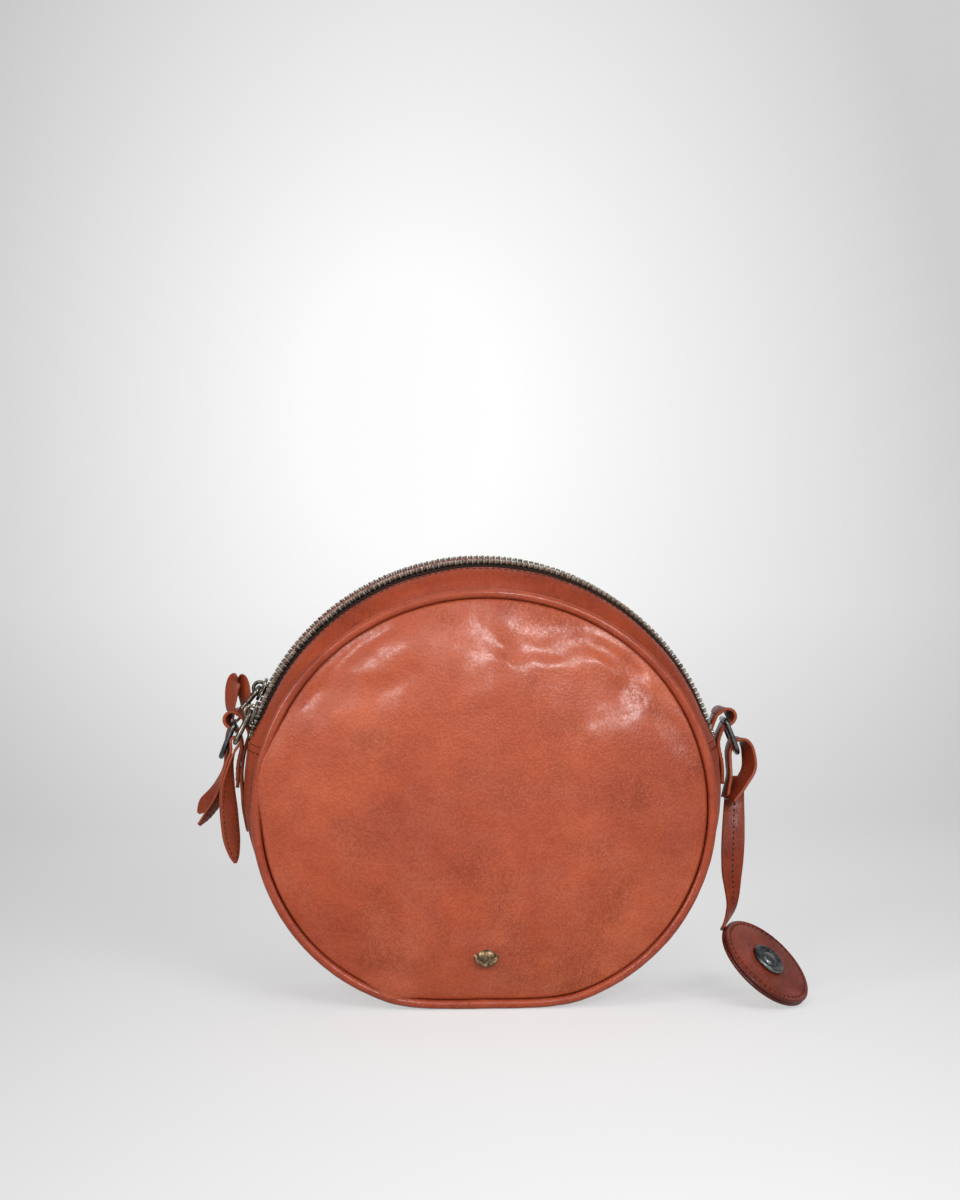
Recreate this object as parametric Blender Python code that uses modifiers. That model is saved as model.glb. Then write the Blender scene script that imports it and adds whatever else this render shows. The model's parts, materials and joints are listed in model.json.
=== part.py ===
"""A round leather crossbody bag with two arched zips, modelled in metres, +Z up, front facing -Y.

The origin is on the floor under the middle of the bag. The body is turned about a hub axis that runs
front to back through the centre of the zip arcs, and then settles: it flattens where it stands and
spreads at the sides. Angles along the rim are in degrees, from +X up through +Z."""

import math

import bmesh
import bpy
from mathutils import Matrix, Vector

# Body
HUB_HEIGHT = 0.093
CROWN_RADIUS = 0.1105
WELT_RADIUS_TOP = 0.0975
WELT_RADIUS_BASE = 0.0925
BELLY = 0.0068
SAG_BLEND = 0.0016
SAG_POWER = 0.6
WELT_Y = 0.0355
WELT = 0.0022
LEATHER = 0.0014
PANEL_BULGE = 0.0135
REAR_BULGE = 0.0085
SEAM_GAP = 0.0003
BELLY_ANGLE = 80
BELLY_REACH_BELOW = 80
BELLY_REACH_ABOVE = 100
SETTLE_ANGLE = 60
CROWN_LOW_ANGLE = 72
CROWN_FULL_ANGLE = 100
CROWN_POWER = 1.8
BASE_POWER = 6
PANEL_POWER = 3
STEEPEST_SHARE = 0.9
RIM_STEP = 5
PANEL_RING_SHARES = (1, 0.95, 0.8, 0.5, 0)
BAND_SHARES = (0, 0.35, 0.72, 1)

# Linings, padding and divider
LINING = 0.0006
PADDING = 0.0018
PADDING_INSET = 0.006
PADDING_GAP = 0.0005
DIVIDER = 0.0010
LINING_DEPTH = 0.0036
LINING_PANEL_GAP = 0.0020
LINING_STEP = 10
LINING_SLOT_HALF = 0.0075
LINING_WALL_SHARE = 0.5
LINING_FACE_SHARES = (0.93, 0.6, 0)

# Zips
ZIP_Y = 0.014
ZIP_START = 15
ZIP_END = 165
ZIP_SLOT_HALF = 0.006
TAPE = 0.0007
TAPE_RAMP = 0.0012
TAPE_DROP = 0.001
TEETH_GAP = 0.0012
TEETH_WIDTH = 0.0024
TEETH_HEIGHT = 0.0026
TEETH_RISE = 0.0013
STOP_ANGLE = 1.3
STOP_INSET_ANGLE = 0.65
TEETH_INSET_ANGLE = 2.3

# Sliders, bails and pulls
SLIDER_LENGTH = 0.011
SLIDER_WIDTH = 0.0088
SLIDER_PLATE = 0.0011
SLIDER_POST = 0.0006
SLIDER_POST_LENGTH = 0.005
SLIDER_CLEARANCE = 0.0004
FRONT_SLIDER_ANGLE = 158.5
REAR_SLIDER_ANGLE = 154
FRONT_BAIL_FALL = 63
REAR_BAIL_FALL = 50
LUG_WIRE = 0.0014
LUG_SPAN = 0.006
LUG_RISE = 0.0034
BAIL_WIRE = 0.0015
BAIL_LENGTH = 0.0155
BAIL_WIDTH = 0.0088
BAIL_CORNER_SHARE = 0.6
PULL_THICKNESS = 0.0024
PULL_TOP_WIDTH = 0.0054
PULL_WIDTH = 0.0084
PULL_LOOP = 0.0021
PULL_STEPS = 12
PULL_LOOP_STEPS = 6
FRONT_PULL_LENGTH = 0.056
FRONT_PULL_DRIFT = -0.0038
REAR_PULL_LENGTH = 0.052
REAR_PULL_DRIFT = -0.019
REAR_TAIL_SHARE = 0.72
# Each row is a share of the drift, a share of the length, a turn and a share of the width
FRONT_PULL_SHARES = (
    (0.30, 0.07, 0, 0.75),
    (0.75, 0.18, 15, 0.83),
    (1.00, 0.36, 50, 0.90),
    (0.85, 0.57, 70, 1.00),
    (0.55, 0.79, 75, 0.95),
    (0.25, 0.93, 78, 0.60),
    (0.10, 1.00, 80, 0.18),
)
REAR_PULL_SHARES = (
    (0.09, 0.07, 0, 0.75),
    (0.24, 0.19, 0, 0.83),
    (0.30, 0.46, 0, 0.94),
    (0.47, 0.73, 5, 1.00),
    (0.74, 0.89, 8, 0.88),
    (1.00, 1.00, 10, 0.30),
)

# Side tabs and rings
TAB_WIDTH = 0.013
TAB_LEATHER = 0.0016
TAB_ROLL_RADIUS = 0.0039
TAB_ROLL_LIFT = 0.00876
TAB_ROLL_ANGLE = 17.9
TAB_ROLL_START = 170
TAB_ROLL_END = -95
TAB_ROLL_STEPS = 10
TAB_ANGLES = (-8, -6, -1, 4, 9, 13, 16)
TAB_WIDTH_SHARES = (0.25, 0.7, 1, 1, 1, 1, 1)
TAB_RETURN_ANGLES = (13, 8, 3)
RING_WIRE = 0.0024
RING_SIDE_GAP = 0.0004
RING_DEPTH = 0.0165
RING_TILT = 22
RING_STEP = 15

# Fob: its loop, strap, disc and ornament
FOB_LEATHER = 0.0016
FOB_LOOP_WIDTH = 0.010
FOB_STRAP_WIDTH = 0.0112
FOB_DISC_RADIUS = 0.0245
FOB_DISC_LEATHER = 0.0018
FOB_ORNAMENT_RADIUS = 0.0085
FOB_ORNAMENT_RISE = 0.0026
FOB_FLOOR_GAP = 0.0004
FOB_DROP = 0.0215
FOB_LOOP_REACH = 0.0056
FOB_LOOP_LEAN = 0.006
FOB_LOOP_STEPS = 28
FOB_STRAP_TOP = 0.0115
FOB_STRAP_END_WIDTH = 0.005
FOB_STRAP_END_TURN = 5
FOB_STRAP_STEPS = 14
FOB_DISC_X = 0.1295
FOB_DISC_Y = -0.03
FOB_DISC_NORMAL = Vector((0.57, -0.39, 0.72)).normalized()
FOB_DISC_LONG = Vector((0.73, 0, -0.68))
FOB_DISC_STEPS = 36
FOB_ORNAMENT_STEPS = 24
# Each row is a share of the reach, a share of the drop and a share of the lean
FOB_LOOP_SHARES = (
    (-1.02, -1.00, 0.98),
    (0.20, -0.67, 0.63),
    (1.00, -0.31, 0.26),
    (0.98, 0.03, 0.04),
    (0.62, 0.24, 0.00),
    (0.08, 0.30, 0.00),
    (-0.42, 0.25, 0.00),
    (-0.70, 0.03, 0.04),
    (-0.74, -0.25, 0.26),
    (-0.76, -0.50, 0.50),
    (-1.24, -0.92, 0.92),
)
# Each row is a share of the reach, of the disc's lean and of the length, then a turn and a share of the width
FOB_STRAP_SHARES = (
    (-0.05, -0.12, 0.00, 90, 0.72),
    (-0.12, -0.10, 0.16, 88, 0.85),
    (-0.38, 0.14, 0.43, 80, 1.00),
    (-0.69, 0.42, 0.64, 65, 0.94),
    (-0.96, 0.75, 0.84, 40, 0.66),
)
FOB_ORNAMENT_SHARES = (
    (0, 1),
    (0.25, 0.93),
    (0.45, 0.6),
    (0.55, 0.3),
    (0.7, 0.35),
    (0.8, 0.7),
    (0.92, 0.65),
    (1, 0.3),
    (1, 0),
    (0, 0),
)

# Front stud
STUD_RADIUS = 0.0058
STUD_RISE = 0.0026
STUD_POST = 0.0016
STUD_HEIGHT = 0.0245
WASHER_RADIUS = 0.0045
WASHER = 0.0008
STUD_STEPS = 16
STUD_DOME_SHARES = ((0, 1), (0.35, 0.93), (0.65, 0.72), (0.88, 0.38), (1, 0.1))

# Cutting tools run past what they cut by this much
OVERRUN = 0.004

# Points nearer than this are one point
MERGE = 0.00002
SHARP_ANGLE = 35
LUG_STEPS = 6
BAIL_CORNER_STEPS = 3


def clear_scene():
    for old in list(bpy.data.objects):
        bpy.data.objects.remove(old, do_unlink=True)


def new_collection(name):
    made = bpy.data.collections.new(name)
    bpy.context.scene.collection.children.link(made)
    return made


def material(name, colour, roughness, metallic=0.0):
    made = bpy.data.materials.new(name)
    made.use_nodes = True
    shader = made.node_tree.nodes["Principled BSDF"]
    shader.inputs["Base Color"].default_value = (*colour, 1.0)
    shader.inputs["Roughness"].default_value = roughness
    shader.inputs["Metallic"].default_value = metallic
    return made


clear_scene()
BAG = new_collection("crossbody_bag")

LEATHER_FINISH = material("cognac_leather", (0.37, 0.095, 0.042), 0.38)
LINING_FINISH = material("lining_cloth", (0.30, 0.24, 0.18), 0.9)
PADDING_FINISH = material("felt_padding", (0.55, 0.52, 0.48), 0.95)
TAPE_FINISH = material("zip_tape", (0.045, 0.028, 0.022), 0.85)
BRASS_FINISH = material("antique_brass", (0.36, 0.28, 0.19), 0.35, 1.0)
GUNMETAL_FINISH = material("gunmetal", (0.12, 0.12, 0.12), 0.35, 1.0)


# Shared modelling helpers


def keep(obj, finish, smooth=True):
    """Gives a finished object its material, its collection and its shading."""
    for group in list(obj.users_collection):
        group.objects.unlink(obj)
    BAG.objects.link(obj)
    obj.data.materials.clear()
    obj.data.materials.append(finish)
    if smooth and obj.type == "MESH":
        obj.data.shade_smooth()
        obj.data.set_sharp_from_angle(angle=math.radians(SHARP_ANGLE))
    return obj


def object_from(name, mesh, location=(0, 0, 0)):
    obj = bpy.data.objects.new(name, mesh)
    obj.location = location
    bpy.context.scene.collection.objects.link(obj)
    return obj


def baked(obj):
    """The object as a plain mesh object with its modifiers and its curve made real."""
    bpy.context.view_layer.update()
    seen = obj.evaluated_get(bpy.context.evaluated_depsgraph_get())
    mesh = bpy.data.meshes.new_from_object(seen)
    body = bmesh.new()
    body.from_mesh(mesh)
    bmesh.ops.remove_doubles(body, verts=body.verts, dist=MERGE)
    body.to_mesh(mesh)
    body.free()
    made = object_from(obj.name, mesh)
    made.matrix_world = obj.matrix_world.copy()
    name = obj.name
    bpy.data.objects.remove(obj, do_unlink=True)
    made.name = name
    return made


def thicken(obj, thickness, offset=-1):
    shell = obj.modifiers.new("thickness", "SOLIDIFY")
    shell.thickness = thickness
    shell.offset = offset
    shell.use_even_offset = True
    return obj


def combine(obj, other, operation):
    """Cuts or joins with another closed object, which is used up."""
    step = obj.modifiers.new(operation.lower(), "BOOLEAN")
    step.operation = operation
    step.object = other
    name = obj.name
    made = baked(obj)
    bpy.data.objects.remove(other, do_unlink=True)
    made.name = name
    return made


def block(name, size, centre):
    bpy.ops.mesh.primitive_cube_add(size=1, location=(0, 0, 0))
    obj = bpy.context.object
    obj.name = name
    obj.data.transform(Matrix.Translation(centre) @ Matrix.Diagonal((*size, 1)))
    return obj


def tube(name, points, radius, closed=False, resolution=2):
    """A round wire or cord through the points."""
    path = bpy.data.curves.new(name, "CURVE")
    path.dimensions = "3D"
    path.bevel_depth = radius
    path.bevel_resolution = resolution
    path.use_fill_caps = not closed
    line = path.splines.new("POLY")
    line.points.add(len(points) - 1)
    for spot, point in zip(line.points, points):
        spot.co = (*point, 1)
    line.use_cyclic_u = closed
    obj = bpy.data.objects.new(name, path)
    bpy.context.scene.collection.objects.link(obj)
    return obj


def turned(name, profile, start, sweep, step):
    """Turns a profile of (radius, y) points about the hub axis, from one rim angle through a sweep."""
    flat = bpy.data.meshes.new(name)
    turn = math.radians(start)
    points = [(r * math.cos(turn), r * math.sin(turn), -y) for r, y in profile]
    flat.from_pydata(points, [(i, i + 1) for i in range(len(points) - 1)], [])
    obj = object_from(name, flat)
    screw = obj.modifiers.new("turn", "SCREW")
    screw.axis = "Z"
    screw.angle = math.radians(sweep)
    screw.steps = round(sweep / step)
    screw.render_steps = screw.steps
    screw.use_merge_vertices = sweep == 360
    screw.merge_threshold = MERGE
    made = baked(obj)
    made.data.transform(Matrix.Rotation(math.radians(90), 4, "X"))
    made.location = (0, 0, HUB_HEIGHT)
    return made


def smooth_step(share):
    share = min(max(share, 0), 1)
    return share * share * (3 - 2 * share)


# The settled outline of the body


def angle_from_below(rim_angle):
    return abs((rim_angle + 270) % 360 - 180)


def welt_radius(rim_angle):
    """Where the piping's centre lies: a circle that spreads at the sides and is flat where it stands."""
    below = angle_from_below(rim_angle)
    side = WELT_RADIUS_TOP + BELLY
    if below >= BELLY_ANGLE:
        share = min((below - BELLY_ANGLE) / BELLY_REACH_ABOVE, 1)
        return WELT_RADIUS_TOP + BELLY * (1 + math.cos(math.pi * share)) / 2
    share = (BELLY_ANGLE - below) / BELLY_REACH_BELOW
    wave = (1 + math.cos(math.pi * min(share, 1))) / 2
    free = WELT_RADIUS_BASE + (side - WELT_RADIUS_BASE) * wave**SAG_POWER
    if below >= SETTLE_ANGLE:
        return free
    floor = (HUB_HEIGHT - WELT) / math.cos(math.radians(below))
    overlap = max(SAG_BLEND - abs(free - floor), 0) / SAG_BLEND
    return min(free, floor) - SAG_BLEND * overlap * overlap / 4


def crown_share(rim_angle):
    """0 on the flat base, 1 along the zips."""
    below = angle_from_below(rim_angle)
    return smooth_step((below - CROWN_LOW_ANGLE) / (CROWN_FULL_ANGLE - CROWN_LOW_ANGLE))


def rim_radius(rim_angle, y):
    """The leather's outer surface round the rim."""
    share = crown_share(rim_angle)
    welt = welt_radius(rim_angle)
    low = welt + WELT / max(math.cos(math.radians(angle_from_below(rim_angle))), STEEPEST_SHARE)
    crown = low * (1 - share) + CROWN_RADIUS * share
    power = BASE_POWER * (1 - share) + CROWN_POWER * share
    plateau = ZIP_Y + ZIP_SLOT_HALF
    slope = (abs(y) - plateau) / (rim_half_width() - plateau)
    dome = 1 - min(max(slope, 0), 1) ** power
    return welt + (crown - welt) * dome


def rim_half_width():
    return WELT_Y - WELT - SEAM_GAP


def settle_rim(obj):
    """Moves each turned point so that it keeps its depth under the settled outer surface."""
    for vertex in obj.data.vertices:
        x, y, z = vertex.co
        radius = math.hypot(x, z)
        rim_angle = math.degrees(math.atan2(z, x))
        grown = (rim_radius(rim_angle, y) - (CROWN_RADIUS - radius)) / radius
        vertex.co = (x * grown, y, z * grown)
    return obj


def settle_disc(obj):
    """Spreads a turned disc to the settled outline, in proportion to the distance from the hub."""
    for vertex in obj.data.vertices:
        x, y, z = vertex.co
        grown = welt_radius(math.degrees(math.atan2(z, x))) / WELT_RADIUS_TOP
        vertex.co = (x * grown, y, z * grown)
    return obj


def rim_strip(name, stations, start, end, thickness, step=RIM_STEP):
    """A strip of the rim between two rim angles; stations are (y, depth under the outer leather)."""
    profile = [(CROWN_RADIUS - depth, y) for y, depth in stations]
    made = settle_rim(turned(name, profile, start, end - start, step))
    return thicken(made, thickness)


def panel_edge():
    return WELT_RADIUS_TOP - WELT - SEAM_GAP


def panel_y(radius, bulge):
    """How far the padded panel's outer face stands from the middle plane, by distance from the hub."""
    return WELT_Y + bulge * (1 - (radius / panel_edge()) ** PANEL_POWER)


def panel_rings(radius):
    """The panel's rings just outside and just inside a distance from the hub."""
    radii = [panel_edge() * share for share in PANEL_RING_SHARES]
    return next((a, b) for a, b in zip(radii, radii[1:]) if b <= radius)


def face_y(radius, bulge):
    """The same on the panel's flat facets, which run between its rings."""
    outer, inner = panel_rings(radius)
    share = (outer - radius) / (outer - inner)
    return panel_y(outer, bulge) * (1 - share) + panel_y(inner, bulge) * share


def under_panel(radius, bulge, depth):
    """The same at a depth measured square to the leather."""
    slope = bulge * PANEL_POWER * radius ** (PANEL_POWER - 1) / panel_edge() ** PANEL_POWER
    return face_y(radius, bulge) - depth * math.sqrt(1 + slope * slope)


def face_outwards(obj, side=0):
    """Turns a closed shell's faces outwards, or an open one's to the front or the rear."""
    body = bmesh.new()
    body.from_mesh(obj.data)
    bmesh.ops.recalc_face_normals(body, faces=body.faces)
    body.faces.ensure_lookup_table()
    if body.faces[0].normal.y * side < 0:
        bmesh.ops.reverse_faces(body, faces=body.faces)
    body.to_mesh(obj.data)
    body.free()
    return obj


def panel_shell(name, bulge, side, depth, inset, thickness, step=RIM_STEP):
    """A domed disc under the panel's outer face; side is -1 at the front, 1 at the rear."""
    edge = panel_edge() - inset
    radii = [edge] + [panel_edge() * share for share in PANEL_RING_SHARES if panel_edge() * share < edge]
    points = [(r, side * under_panel(r, bulge, depth)) for r in radii]
    made = face_outwards(settle_disc(turned(name, points, 0, 360, step)), side)
    return thicken(made, thickness)


def ribbon(name, stations, thickness):
    """A strap through stations of (middle point, direction across, width)."""
    body = bmesh.new()
    rows = []
    for middle, across, width in stations:
        side = Vector(across).normalized() * (width / 2)
        rows.append([body.verts.new(Vector(middle) + side * share) for share in (-1, 0, 1)])
    for row, following in zip(rows, rows[1:]):
        for k in range(2):
            body.faces.new((row[k], row[k + 1], following[k + 1], following[k]))
    mesh = bpy.data.meshes.new(name)
    body.to_mesh(mesh)
    body.free()
    return thicken(object_from(name, mesh), thickness, 0)


def smooth_route(points, count):
    """Points read from a smooth curve through the given ones, each a tuple of numbers."""
    padded = [points[0], *points, points[-1]]
    route = []
    spans = len(points) - 1
    for k in range(count + 1):
        place = min(k * spans / count, spans - 1e-9)
        i = int(place)
        t = place - i
        a, b, c, d = padded[i : i + 4]
        spot = []
        for p, q, r, s in zip(a, b, c, d):
            bend = 2 * p - 5 * q + 4 * r - s
            twist = 3 * q - p - 3 * r + s
            spot.append((2 * q + (r - p) * t + bend * t**2 + twist * t**3) / 2)
        route.append(tuple(spot))
    return route


def arc_points(centre, radius, start, end, count):
    """Points of an arc in the XZ plane, with angles from +X up through +Z."""
    turns = [math.radians(start + (end - start) * k / count) for k in range(count + 1)]
    middle = Vector(centre)
    return [middle + Vector((math.cos(t), 0, math.sin(t))) * radius for t in turns]


def rim_point(rim_angle, y, lift):
    turn = math.radians(rim_angle)
    radius = rim_radius(rim_angle, y) + lift
    return Vector((radius * math.cos(turn), y, HUB_HEIGHT + radius * math.sin(turn)))


def move_origin(obj, place):
    """Puts an object's origin on its joint axis and leaves its shape where it is."""
    bpy.context.view_layer.update()
    shift = Vector(place) - obj.matrix_world.translation
    obj.data.transform(Matrix.Translation(-shift))
    obj.location = place
    return obj


# Outer leather: two panels, two zip bands, the centre band, the lower gusset and the piping


def panels():
    front = panel_shell("front_panel", PANEL_BULGE, -1, 0, 0, LEATHER)
    hole = stud_shape("stud_hole", STUD_POST + SEAM_GAP, STUD_POST + SEAM_GAP, OVERRUN)
    front = combine(front, hole, "DIFFERENCE")
    keep(front, LEATHER_FINISH)
    rear = panel_shell("rear_panel", REAR_BULGE, 1, 0, 0, LEATHER)
    keep(rear, LEATHER_FINISH)


def band_stations(inner, outer, side):
    """Stations across a zip band from the zip slot to the seam."""
    ys = [side * (inner + (outer - inner) * share) for share in BAND_SHARES]
    return [(y, 0) for y in sorted(ys)]


def rim_leather():
    plateau = ZIP_Y + ZIP_SLOT_HALF
    outer = rim_half_width()
    front = band_stations(plateau, outer, -1)
    rear = band_stations(plateau, outer, 1)
    inner = ZIP_Y - ZIP_SLOT_HALF
    centre = [(-inner, 0), (inner, 0)]
    for name, stations in (("front_zip_band", front), ("rear_zip_band", rear), ("centre_band", centre)):
        keep(rim_strip(name, stations, ZIP_START, ZIP_END, LEATHER), LEATHER_FINISH)
    lap = math.degrees(SEAM_GAP / CROWN_RADIUS)
    stations = front + centre + rear
    gusset = rim_strip("lower_gusset", stations, ZIP_END + lap, 360 + ZIP_START - lap, LEATHER)
    keep(gusset, LEATHER_FINISH)


def piping():
    for name, side in (("front_piping", -1), ("rear_piping", 1)):
        points = []
        for rim_angle in range(0, 360, RIM_STEP):
            turn = math.radians(rim_angle)
            radius = welt_radius(rim_angle)
            points.append((radius * math.cos(turn), side * WELT_Y, HUB_HEIGHT + radius * math.sin(turn)))
        keep(baked(tube(name, points, WELT, closed=True, resolution=1)), LEATHER_FINISH)


# Zips: each has two tapes, two rows of teeth and its stops


def zip_rows():
    tape_inner = TEETH_GAP / 2 + TEETH_WIDTH + SEAM_GAP + TAPE
    tape_under = LEATHER + SEAM_GAP
    tape_half = ZIP_SLOT_HALF + BAND_SHARES[1] * (rim_half_width() - ZIP_Y - ZIP_SLOT_HALF)
    teeth_start = ZIP_START + TEETH_INSET_ANGLE
    teeth_end = ZIP_END - TEETH_INSET_ANGLE
    for zip_name, zip_y in (("front_zip", -ZIP_Y), ("rear_zip", ZIP_Y)):
        for half, side in (("front", -1), ("rear", 1)):
            tape = [
                (zip_y + side * tape_half, tape_under + TAPE_DROP),
                (zip_y + side * ZIP_SLOT_HALF, tape_under),
                (zip_y + side * (tape_inner + TAPE_RAMP), tape_under),
                (zip_y + side * tape_inner, -TAPE / 2),
            ]
            made = rim_strip(f"{zip_name}_{half}_tape", sorted(tape), ZIP_START, ZIP_END, TAPE)
            keep(made, TAPE_FINISH)
            inner, outer = TEETH_GAP / 2, TEETH_GAP / 2 + TEETH_WIDTH
            rows = sorted((zip_y + side * edge, -TEETH_RISE) for edge in (inner, outer))
            row = rim_strip(f"{zip_name}_{half}_teeth", rows, teeth_start, teeth_end, TEETH_HEIGHT)
            keep(row, BRASS_FINISH)
        half_width = TEETH_GAP / 2 + TEETH_WIDTH
        rows = [(zip_y - half_width, -TEETH_RISE), (zip_y + half_width, -TEETH_RISE)]
        right, left = ZIP_START + STOP_INSET_ANGLE, ZIP_END - STOP_INSET_ANGLE - STOP_ANGLE
        for end, first in (("right", right), ("left", left)):
            name = f"{zip_name}_{end}_stop"
            stop = rim_strip(name, rows, first, first + STOP_ANGLE, TEETH_HEIGHT, STOP_ANGLE)
            keep(stop, BRASS_FINISH)


# Linings, divider and padding


def settle_inner(obj, rim):
    """Keeps a turned inner piece at the lining's depth under the rim, less and less towards the hub."""
    for vertex in obj.data.vertices:
        x, y, z = vertex.co
        radius = math.hypot(x, z)
        if radius:
            rim_angle = math.degrees(math.atan2(z, x))
            at_rim = rim_radius(rim_angle, y) - LINING_DEPTH
            grown = 1 + (at_rim / rim - 1) * smooth_step(radius / rim)
            vertex.co = (x * grown, y, z * grown)
    return obj


def inner_parts():
    for name, side, bulge in (("front_padding", -1, PANEL_BULGE), ("rear_padding", 1, REAR_BULGE)):
        depth = LEATHER + PADDING_GAP
        made = panel_shell(name, bulge, side, depth, PADDING_INSET, PADDING, LINING_STEP)
        if side < 0:
            hole = stud_shape("washer_hole", WASHER_RADIUS + SEAM_GAP, WASHER_RADIUS + SEAM_GAP, OVERRUN)
            made = combine(made, hole, "DIFFERENCE")
        keep(made, PADDING_FINISH)
    wall = DIVIDER / 2 + SEAM_GAP
    rim = CROWN_RADIUS - LINING_DEPTH
    for name, side, bulge in (("front_lining", -1, PANEL_BULGE), ("rear_lining", 1, REAR_BULGE)):
        depth = LEATHER + PADDING_GAP + PADDING + LINING_PANEL_GAP
        plateau = ZIP_Y + ZIP_SLOT_HALF
        profile = [
            (0, side * wall),
            (rim * LINING_WALL_SHARE, side * wall),
            (rim, side * wall),
            (rim, side * ZIP_Y),
            (rim, side * plateau),
            (rim - LINING_DEPTH, side * (WELT_Y - PADDING_INSET)),
        ]
        edge = panel_edge() - PADDING_INSET
        for share in LINING_FACE_SHARES:
            profile.append((edge * share, side * (panel_y(edge * share, bulge) - depth)))
        made = settle_inner(turned(name, profile, 0, 360, LINING_STEP), rim)
        thicken(face_outwards(made), LINING)
        keep(combine(made, slot_cutter("lining_slot", side * ZIP_Y), "DIFFERENCE"), LINING_FINISH)
    disc = [(0, 0), (rim * LINING_WALL_SHARE, 0), (rim, 0)]
    made = settle_inner(turned("divider", disc, 0, 360, LINING_STEP), rim)
    keep(thicken(made, DIVIDER, 0), LINING_FINISH)


def slot_cutter(name, zip_y):
    """A closed arched block through the lining under one zip."""
    start = ZIP_START + TEETH_INSET_ANGLE
    end = ZIP_END - TEETH_INSET_ANGLE
    edges = [(CROWN_RADIUS, zip_y - LINING_SLOT_HALF), (CROWN_RADIUS, zip_y + LINING_SLOT_HALF)]
    made = turned(name, edges, start, end - start, RIM_STEP)
    return baked(thicken(made, LINING_DEPTH + OVERRUN))


# Sliders, bails and pulls, hanging at the zips' left ends


def slider(name, zip_y, rim_angle):
    top_low = TEETH_RISE + SLIDER_CLEARANCE
    bottom_high = -TEETH_RISE - SLIDER_CLEARANCE - SLIDER_LENGTH**2 / (8 * CROWN_RADIUS)
    plate = (SLIDER_LENGTH, SLIDER_WIDTH, SLIDER_PLATE)
    made = block(name, plate, (0, 0, CROWN_RADIUS + top_low + SLIDER_PLATE / 2))
    bottom = block("bottom", plate, (0, 0, CROWN_RADIUS + bottom_high - SLIDER_PLATE / 2))
    middle = CROWN_RADIUS + (top_low + bottom_high) / 2
    post = block(
        "post", (SLIDER_POST_LENGTH, SLIDER_POST, top_low - bottom_high + SLIDER_PLATE), (0, 0, middle)
    )
    made = combine(made, bottom, "UNION")
    made = combine(made, post, "UNION")
    plate_top = CROWN_RADIUS + top_low + SLIDER_PLATE
    foot = plate_top - SLIDER_PLATE / 2
    lug_points = [
        Vector((-LUG_SPAN / 2, 0, foot)),
        *arc_points((0, 0, plate_top + LUG_RISE - LUG_SPAN / 2), LUG_SPAN / 2, 180, 0, LUG_STEPS),
        Vector((LUG_SPAN / 2, 0, foot)),
    ]
    made = combine(made, baked(tube("lug", lug_points, LUG_WIRE / 2, resolution=1)), "UNION")
    made.location = (0, zip_y, HUB_HEIGHT)
    made.rotation_euler = (0, math.radians(90 - rim_angle), 0)
    return keep(made, BRASS_FINISH, smooth=False)


def bail_pivot(zip_y, rim_angle):
    lift = TEETH_RISE + SLIDER_CLEARANCE + SLIDER_PLATE + SEAM_GAP + BAIL_WIRE / 2
    turn = math.radians(rim_angle)
    radius = CROWN_RADIUS + lift
    return Vector((radius * math.cos(turn), zip_y, HUB_HEIGHT + radius * math.sin(turn)))


def bail(name, zip_y, rim_angle, fall):
    """A rounded wire loop; fall is its angle below level, pointing away from the bag."""
    half = BAIL_WIDTH / 2 - BAIL_WIRE / 2
    corner = half * BAIL_CORNER_SHARE
    outline = []
    for cx, cy, start in (
        (corner, half - corner, 90),
        (corner, -half + corner, 180),
        (BAIL_LENGTH - corner, -half + corner, 270),
        (BAIL_LENGTH - corner, half - corner, 0),
    ):
        for k in range(BAIL_CORNER_STEPS + 1):
            t = math.radians(start + 90 * k / BAIL_CORNER_STEPS)
            outline.append((cx + corner * math.cos(t), cy + corner * math.sin(t)))
    turn = math.radians(fall)
    points = [Vector((-u * math.cos(turn), v, -u * math.sin(turn))) for u, v in outline]
    made = baked(tube(name, points, BAIL_WIRE / 2, closed=True))
    made.location = bail_pivot(zip_y, rim_angle)
    return keep(made, BRASS_FINISH)


def bail_end(zip_y, rim_angle, fall):
    turn = math.radians(fall)
    return bail_pivot(zip_y, rim_angle) + Vector((-math.cos(turn), 0, -math.sin(turn))) * BAIL_LENGTH


def folded_pull(name, end, route, tail_share=1.0):
    """A strap folded over the bail's end; route holds (dx, dz, turn, width) from the fold to the tip."""
    spots = smooth_route(route, PULL_STEPS)
    layer = PULL_THICKNESS / 2 - SEAM_GAP / 2
    middles, acrosses, normals, widths = [], [], [], []
    for k, (dx, dz, turn, width) in enumerate(spots):
        before, after = spots[max(k - 1, 0)], spots[min(k + 1, len(spots) - 1)]
        along = Vector((after[0] - before[0], 0, after[1] - before[1])).normalized()
        level = Vector((0, 1, 0))
        across = level * math.cos(math.radians(turn)) + along.cross(level) * math.sin(math.radians(turn))
        middles.append(end + Vector((dx, 0, dz)))
        acrosses.append(across)
        normals.append(along.cross(across))
        widths.append(width)
    offset = layer / 2 + SEAM_GAP / 2
    spots = list(zip(middles, normals, acrosses, widths))
    long_side = [(m + n * offset, a, w) for m, n, a, w in spots]
    short_side = [(m - n * offset, a, w) for m, n, a, w in spots[: int(len(spots) * tail_share)]]
    outward = (long_side[0][0] - short_side[0][0]).normalized()
    first = math.degrees(math.atan2(outward.z, outward.x))
    lead = (middles[0] - middles[1]).normalized()
    sweep = 180 if Vector((-outward.z, 0, outward.x)).dot(lead) > 0 else -180
    fold = arc_points(end, PULL_LOOP, first, first + sweep, PULL_LOOP_STEPS)
    loop = [(p, (0, 1, 0), PULL_TOP_WIDTH) for p in fold]
    made = ribbon(name, list(reversed(long_side)) + loop + short_side, layer)
    move_origin(made, end)
    return keep(made, LEATHER_FINISH)


def pull_route(shares, length, drift, width):
    """A pull's route from shares of its length, drift and width, with its turns in degrees."""
    return [(dx * drift, -dz * length, turn, across * width) for dx, dz, turn, across in shares]


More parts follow.
